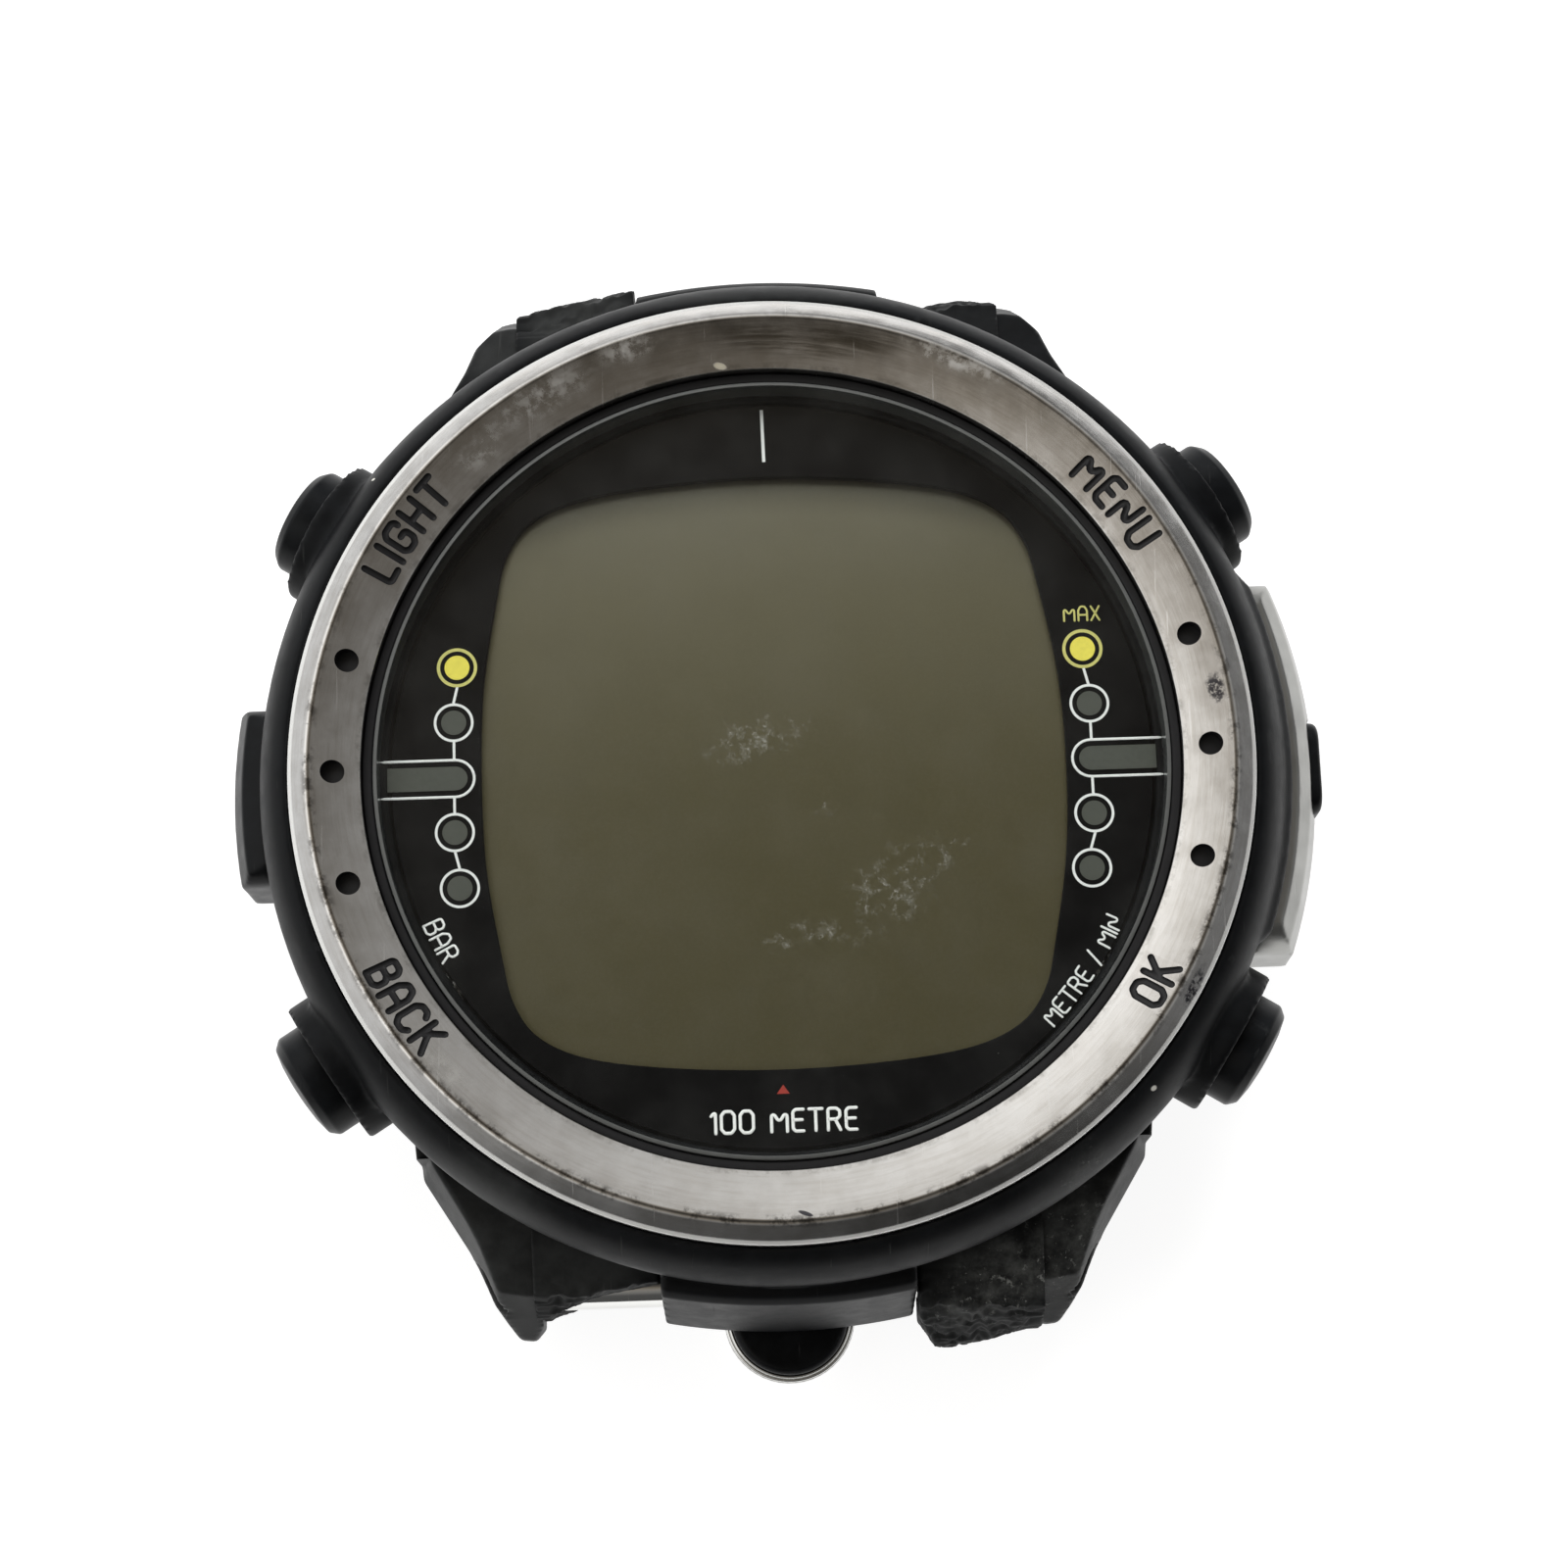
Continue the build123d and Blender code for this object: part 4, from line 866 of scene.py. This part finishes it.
def flat_ring(cx, cy, r, w, n=48):
    """A raised ring of width w about radius r."""
    verts, faces = [], []
    for rr, z in ((r - w / 2, ZD), (r - w / 2, ZD + 0.012), (r + w / 2, ZD + 0.012), (r + w / 2, ZD)):
        for k in range(n):
            a = 2 * math.pi * k / n
            verts.append((cx + rr * math.cos(a), cy + rr * math.sin(a), z))
    for l in range(4):
        l2 = (l + 1) % 4
        for k in range(n):
            k2 = (k + 1) % n
            faces.append((l * n + k, l2 * n + k, l2 * n + k2, l * n + k2))
    return verts, faces


def merge(parts):
    verts, faces = [], []
    for v, f in parts:
        o = len(verts)
        verts += list(v)
        faces += [tuple(i + o for i in face) for face in f]
    return verts, faces


def printed(name, parts, mat):
    v, f = merge(parts)
    o = make_object(name, v, f, [mat], None, BODY, 40)
    bm = bmesh.new(); bm.from_mesh(o.data)
    bmesh.ops.recalc_face_normals(bm, faces=bm.faces)
    bm.to_mesh(o.data); bm.free()
    return o


def bar(x0, y0, x1, y1, w):
    d = Vector((x1 - x0, y1 - y0)).normalized()
    s = Vector((-d.y, d.x)) * w / 2
    return prism([(x0 + s.x, y0 + s.y), (x0 - s.x, y0 - s.y), (x1 - s.x, y1 - s.y), (x1 + s.x, y1 + s.y)], ZD, ZD + 0.012)


white, grey, yellow, yline = [], [], [], []
LINE = 0.13
for side, cols, bar_x in (
    (-1, [(-15.45, 5.65), (-15.65, 2.85), (-15.66, -2.7), (-15.45, -5.5)], (-19.1, -15.6)),
    (1, [(15.6, 5.6), (15.8, 2.8), (15.75, -2.75), (15.5, -5.5)], (19.1, 15.75)),
):
    for i, (x, y) in enumerate(cols):
        if i == 0:
            yline.append(flat_ring(x, y, 0.92, 0.16))
            yellow.append(prism(disc(x, y, 0.62), ZD, ZD + 0.012))
        else:
            white.append(flat_ring(x, y, 0.92, LINE))
            grey.append(prism(disc(x, y, 0.62), ZD, ZD + 0.012))
    (x0, y0), (x1, y1), (x2, y2), (x3, y3) = cols
    white.append(bar(x0, y0 - 0.99, x1, y1 + 0.98, LINE))
    white.append(bar(x1, y1 - 0.98, x1, 0.95, LINE))
    white.append(bar(x2, -0.93, x2, y2 + 0.98, LINE))
    white.append(bar(x2, y2 - 0.98, x3, y3 + 0.98, LINE))
    xo, xi = bar_x
    yc = 0.02
    arc = [(xi - side * 0 + -side * 0.93 * math.sin(math.radians(t)), yc + 0.93 * math.cos(math.radians(t))) for t in range(0, 181, 12)]
    line = [Vector((side * 19.25, yc + 0.93, ZD))] + [Vector((x, y, ZD)) for x, y in arc] + [Vector((side * 19.25, yc - 0.93, ZD))]
    white.append(tube_mesh([line], LINE / 2, 6, 0.25))
    inner = [(side * 18.95, yc + 0.60), (xi, yc + 0.60)] + [(xi - side * 0.60 * math.sin(math.radians(t)), yc + 0.60 * math.cos(math.radians(t))) for t in range(15, 166, 15)] + [(xi, yc - 0.60), (side * 18.95, yc - 0.60)]
    grey.append(prism(inner, ZD, ZD + 0.012))
white.append(bar(0.06, 18.57, 0.10, 15.83, 0.16))
white.append(tube_mesh([[Vector((x, y - 17.95, ZD)) for x, y in run] for run in strokes("100 METRE", 1.05, 0.28)], 0.08, 6, 0.3))
white.append(tube_mesh(on_arc(strokes("BAR", 0.95, 0.22), 206.2, 18.75, False, lambda r: ZD), 0.06, 6, 0.3))
white.append(tube_mesh(on_arc(strokes("METRE / MIN", 0.85, 0.19), 324.5, 18.75, False, lambda r: ZD), 0.055, 6, 0.3))
yline.append(tube_mesh([[Vector((x + 15.65, y + 7.05, ZD)) for x, y in run] for run in strokes("MAX", 0.72, 0.2)], 0.05, 6, 0.3))
printed("marks_white", white, M_WHITE)
printed("marks_grey", grey, M_GREY)
printed("marks_yellow", yellow, M_YELLOW)
printed("marks_yellow_line", yline, M_YLINE)
printed("mark_red", [prism([(-0.30, -16.12), (0.32, -16.12), (0.02, -15.68)], ZD, ZD + 0.012)], M_RED)


# ------------------------------------------------------------------ case
def melted(node, name, voxel, rounds, mat, body=BODY, factor=0.5):
    """A fine, evenly meshed copy of a CAD node with its edges moulded round."""
    me = NODES[node].data.copy()
    me.materials.clear()
    me.materials.append(mat)
    o = bpy.data.objects.new(name, me)
    SCENE.collection.objects.link(o)
    mod = o.modifiers.new("even", "REMESH")
    mod.mode = "VOXEL"
    mod.voxel_size = voxel * MM
    mod.adaptivity = 0.0
    mod.use_smooth_shade = True
    apply_mods(o)
    sm = o.modifiers.new("round", "SMOOTH")
    sm.factor = factor
    sm.iterations = rounds
    apply_mods(o)
    o.data.materials.clear()
    o.data.materials.append(mat)
    for p in o.data.polygons:
        p.use_smooth = True
    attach(o, body)
    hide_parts(node)
    return o


case = melted("case", "case_shell", 0.18, 3, M_BLACK)
for v in case.data.vertices:
    # the nose blocks bow round the case, and the ears' outer flanks lean in
    x, y, z = v.co / MM
    if abs(x) < 6.9 and abs(y) > 24.4 and z < 11.9:
        k = min(1.0, (abs(y) - 24.4) / 1.0)
        v.co.y -= math.copysign((x / 6.2) ** 2 * 0.60 * k, y) * MM
    elif abs(x) > 12.3 and abs(y) > 18.3 and z > 6.2 and math.hypot(x, y) > 24.6 and z < 9.7:
        off = (abs(x) - 16.35) * 0.879 + (abs(y) - 22.05) * 0.476
        k = min(1.0, max(0.0, (off + 1.6) / 1.6)) * (z - 6.2) / 3.3
        v.co.x -= math.copysign(0.85 * k * 0.879, x) * MM
        v.co.y -= math.copysign(0.85 * k * 0.476, y) * MM
    if y > 19.0 and abs(x) > 12.05 and 3.6 < z < 9.7 and math.hypot(x, y) > 24.4:
        # the 12 o'clock ears are worn back
        x, y, z = v.co / MM
        lim = float(np.interp(abs(x), (12.2, 13.4, 14.65, 16.45, 18.2), (25.45, 25.10, 23.85, 21.35, 18.9))) + 0.37 * (8.5 - z)
        if y > lim:
            v.co.y = (lim + (y - lim) * 0.08) * MM
case.data.update()

for n, key in enumerate(("ul", "ur", "ll", "lr")):
    o = melted(f"strap_stub_{key}", f"strap_end_{key}", 0.10, 5, M_STRAP)
    o.data.update()
    # the outer end is torn: ragged in plan, and its top is pulled about
    for v in o.data.vertices:
        p = v.co / MM
        out = min(1.0, max(0.0, (abs(p.y) - 24.2) / 1.2))
        n1 = field.noise(p * 0.9 + Vector((n * 17, 0, 0))) + 0.5 * field.noise(p * 2.3 + Vector((0, n * 13, 0)))
        n2 = field.noise(p * 1.6 + Vector((5, n * 7, 3)))
        q = p.copy()
        q.y -= math.copysign(abs(n1) * 0.42 * out, p.y)
        q.z += (n2 * 0.16 - 0.05) * out
        if key == "ul":
            q.y += (0.42 - 0.19 * (abs(p.x) - 6.35)) * out
        elif key == "ur":
            q.y += (0.42 - 0.11 * abs(abs(p.x) - 10.8)) * out
        if abs(p.x) > 11.9:
            q.x += math.copysign(0.40, p.x)
        if p.z < 9.4:
            q.z = min(q.z, 9.4)
        q.y = max(-28.2, min(27.62, q.y))
        v.co = q * MM
    o.data.update()

cover = melted("sensor_cover", "sensor_cover_shell", 0.11, 16, M_COVER)
plate = melted("data_port_plate", "data_port_shell", 0.10, 5, M_SATIN)
pad = melted("data_port_pad", "data_port_button", 0.09, 5, M_COVER)
tongue = melted("tongue_pad", "tongue_cushion", 0.09, 6, M_COVER)
rims = []
for r, z, w in ((3.16, 2.30, 0.13), (3.02, 2.52, 0.09)):
    path = [Vector((r * math.cos(math.radians(t)), -26.0 + r * math.sin(math.radians(t)), z)) for t in range(172, 369, 4)]
    rims.append(tube_mesh([path], w, 10))
v, f = merge(rims)
rim = make_object("tongue_rim", v, f, [M_BRIGHT], None, BODY, 40)

# ------------------------------------------------------------------ buttons
cap_profile = corner(
    [(0, 25.75), (0.9, 25.75), (0.9, 26.9), (2.25, 26.9), (2.25, 25.7), (2.8, 25.7), (2.8, 27.42), (2.42, 27.84), (1.6, 28.00), (0.8, 28.07), (0, 28.09)],
    [0, 0, 0, 0, 0.05, 0.06, 0.30, 0.30, 0.5, 0.5, 0], 5, closed=False)
for key, angle in BUTTON_ANGLES.items():
    body = f"button_{key}_body"
    cap = lathe(f"button_cap_{key}", cap_profile, [M_BUTTON], segs=96, body=body, frame_m=button_frame(angle), closed=False, angle=50)
    stem = lathe(f"button_stem_{key}", [(0, 18.45), (0.75, 18.45), (0.9, 18.6), (0.9, 18.8), (0.65, 18.8), (0.65, 19.2), (0.9, 19.2), (0.9, 25.8), (0, 25.8)], [M_SCREW], segs=48, body=body, frame_m=button_frame(angle), closed=False)
    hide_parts(f"button_{key}")
    # the return spring: a copy of the CAD spring, fixed to the housing
    coil = bpy.data.objects.new(f"return_spring_{key}", NODES[f"button_spring_{key}"].data.copy())
    SCENE.collection.objects.link(coil)
    coil.data.materials.clear()
    coil.data.materials.append(M_SCREW)
    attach(coil, BODY)
    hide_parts(f"button_spring_{key}")
    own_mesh(coil)

# ------------------------------------------------------------------ CAD nodes that keep their shape
KEEP = {
    "light_guide": M_GUIDE, "lcd_frame": M_MODULE, "zebra_strips": M_SEAL, "main_pcb": M_PCB, "chips": M_CHIP,
    "switches": M_SCREW, "module_frame": M_MODULE, "module_screws": M_SCREW, "battery": M_SCREW, "battery_contacts": M_GOLD,
    "buzzer": M_GOLD, "pressure_sensor": M_SCREW, "sensor_cover_screws": M_SCREW, "data_contacts": M_GOLD, "data_port_screws": M_SCREW,
    "back_plate": M_STEEL, "back_gasket": M_GASKET, "back_screws": M_SCREW, "strap_tubes": M_BRIGHT,
    "button_bushes": M_SCREW, "stem_seals": M_GASKET,
}
for key in BUTTON_ANGLES:
    KEEP[f"button_clip_{key}"] = M_SCREW
for name, mat in KEEP.items():
    o = NODES[name]
    o.data.materials.clear()
    o.data.materials.append(mat)

# ------------------------------------------------------------------ stage, light and camera
def stage():
    n, size = 48, 1.6
    verts, faces = [], []
    for i in range(n + 1):
        for j in range(n + 1):
            verts.append(((i / n - 0.5) * size / MM, (j / n - 0.5) * size / MM, -0.02))
    for i in range(n):
        for j in range(n):
            a = i * (n + 1) + j
            faces.append((a, a + n + 1, a + n + 2, a + 1))
    m = Mat("floor_pale")
    t = m.noise(0.02, 3.0, 0.5)
    col = m.mix(m.span(t, 0.3, 0.7), (0.30, 0.30, 0.30), (0.33, 0.33, 0.33))
    pale = m.principled(Base_Color=col, Roughness=0.9, Emission_Color=(1, 1, 1), Emission_Strength=0.90)
    # seen from below, the floor is open
    geo = m.node("ShaderNodeNewGeometry")
    clear = m.node("ShaderNodeBsdfTransparent")
    pick = m.node("ShaderNodeMixShader")
    m.link(geo.outputs["Backfacing"], pick.inputs[0])
    m.link(pale.outputs[0], pick.inputs[1])
    m.link(clear.outputs[0], pick.inputs[2])
    m.link(pick.outputs[0], m.out.inputs[0])
    floor = make_object("floor", verts, faces, [m.m], None, None)


def world():
    """Soft room: bright low down and behind, dark overhead towards the viewer's side."""
    w = bpy.data.worlds.new("studio")
    SCENE.world = w
    w.use_nodes = True
    nt = w.node_tree
    nt.nodes.clear()
    out = nt.nodes.new("ShaderNodeOutputWorld")
    bg = nt.nodes.new("ShaderNodeBackground")
    tc = nt.nodes.new("ShaderNodeTexCoord")
    sep = nt.nodes.new("ShaderNodeSeparateXYZ")
    nt.links.new(tc.outputs["Generated"], sep.inputs[0])

    def mth(op, a, b=0.0):
        n = nt.nodes.new("ShaderNodeMath")
        n.operation = op
        for s, v in zip(n.inputs, (a, b)):
            if isinstance(v, bpy.types.NodeSocket):
                nt.links.new(v, s)
            else:
                s.default_value = v
        return n.outputs[0]

    x, y, z = sep.outputs
    yy = mth("MAXIMUM", mth("ADD", y, -0.04), mth("MULTIPLY", mth("ADD", y, -0.04), 0.75))
    d = mth("SQRT", mth("ADD", mth("MULTIPLY", x, x), mth("MULTIPLY", yy, yy)))
    ramp = nt.nodes.new("ShaderNodeValToRGB")
    cr = ramp.color_ramp
    stops = [(0.0, (0.045, 0.042, 0.038)), (0.15, (0.070, 0.063, 0.054)), (0.27, (0.21, 0.185, 0.152)), (0.43, (0.50, 0.48, 0.45)), (0.55, (0.92, 0.91, 0.89)), (0.68, (0.80, 0.80, 0.79)), (0.82, (0.52, 0.52, 0.52)), (1.0, (0.46, 0.47, 0.48))]
    while len(cr.elements) < len(stops):
        cr.elements.new(0.5)
    for e, (p, c) in zip(cr.elements, stops):
        e.position = p
        e.color = (*c, 1)
    nt.links.new(mth("DIVIDE", d, 1.1), ramp.inputs[0])
    # the side nearest the viewer is dim
    near = nt.nodes.new("ShaderNodeMapRange")
    near.interpolation_type = "SMOOTHSTEP"
    nt.links.new(y, near.inputs["Value"])
    near.inputs["From Min"].default_value = -0.85
    near.inputs["From Max"].default_value = -0.15
    near.inputs["To Min"].default_value = 0.09
    near.inputs["To Max"].default_value = 1.0
    side = nt.nodes.new("ShaderNodeMapRange")
    side.interpolation_type = "SMOOTHSTEP"
    nt.links.new(x, side.inputs["Value"])
    side.inputs["From Min"].default_value = -0.55
    side.inputs["From Max"].default_value = 0.55
    side.inputs["To Min"].default_value = 1.62
    side.inputs["To Max"].default_value = 0.40
    both = mth("MULTIPLY", near.outputs[0], side.outputs[0])
    dim = nt.nodes.new("ShaderNodeMix")
    dim.data_type = "RGBA"
    dim.blend_type = "MULTIPLY"
    dim.inputs[0].default_value = 1.0
    nt.links.new(ramp.outputs[0], dim.inputs[6])
    nt.links.new(both, dim.inputs[7])
    nt.links.new(dim.outputs[2], bg.inputs[0])
    bg.inputs[1].default_value = 1.0
    nt.links.new(bg.outputs[0], out.inputs[0])


def area(name, loc, aim, size, power, colour=(1, 1, 1), glossy=True):
    l = bpy.data.lights.new(name, "AREA")
    l.energy = power
    l.size = size
    l.color = colour
    o = bpy.data.objects.new(name, l)
    SCENE.collection.objects.link(o)
    o.location = loc
    d = (Vector(aim) - Vector(loc)).normalized()
    o.rotation_euler = d.to_track_quat("-Z", "Y").to_euler()
    o.visible_glossy = glossy
    return o


def camera():
    az, el, roll = math.radians(-2.148), math.radians(77.133), math.radians(0.234)
    target = Vector((0.542, -1.277, 15.0)) * MM
    back = Vector((math.sin(az) * math.cos(el), -math.cos(az) * math.cos(el), math.sin(el)))
    right = (-back).cross(Vector((0, 0, 1))).normalized()
    up = right.cross(-back)
    r2 = right * math.cos(roll) + up * math.sin(roll)
    u2 = -right * math.sin(roll) + up * math.cos(roll)
    m = Matrix((r2, u2, back)).transposed().to_4x4()
    m.translation = target + back * 172.74 * MM
    cam = bpy.data.cameras.new("view")
    cam.lens = 81.58
    cam.sensor_width = 36.0
    cam.sensor_fit = "HORIZONTAL"
    cam.clip_start = 0.005
    cam.clip_end = 10.0
    o = bpy.data.objects.new("view", cam)
    SCENE.collection.objects.link(o)
    o.matrix_world = m
    SCENE.camera = o


stage()
world()
area("back_fill", (0.02, 0.42, 0.36), (0, 0, 0.01), 0.4, 3.6, (1.0, 1.0, 1.0), glossy=False)
camera()
SCENE.view_settings.view_transform = "Standard"
SCENE.view_settings.look = "None"
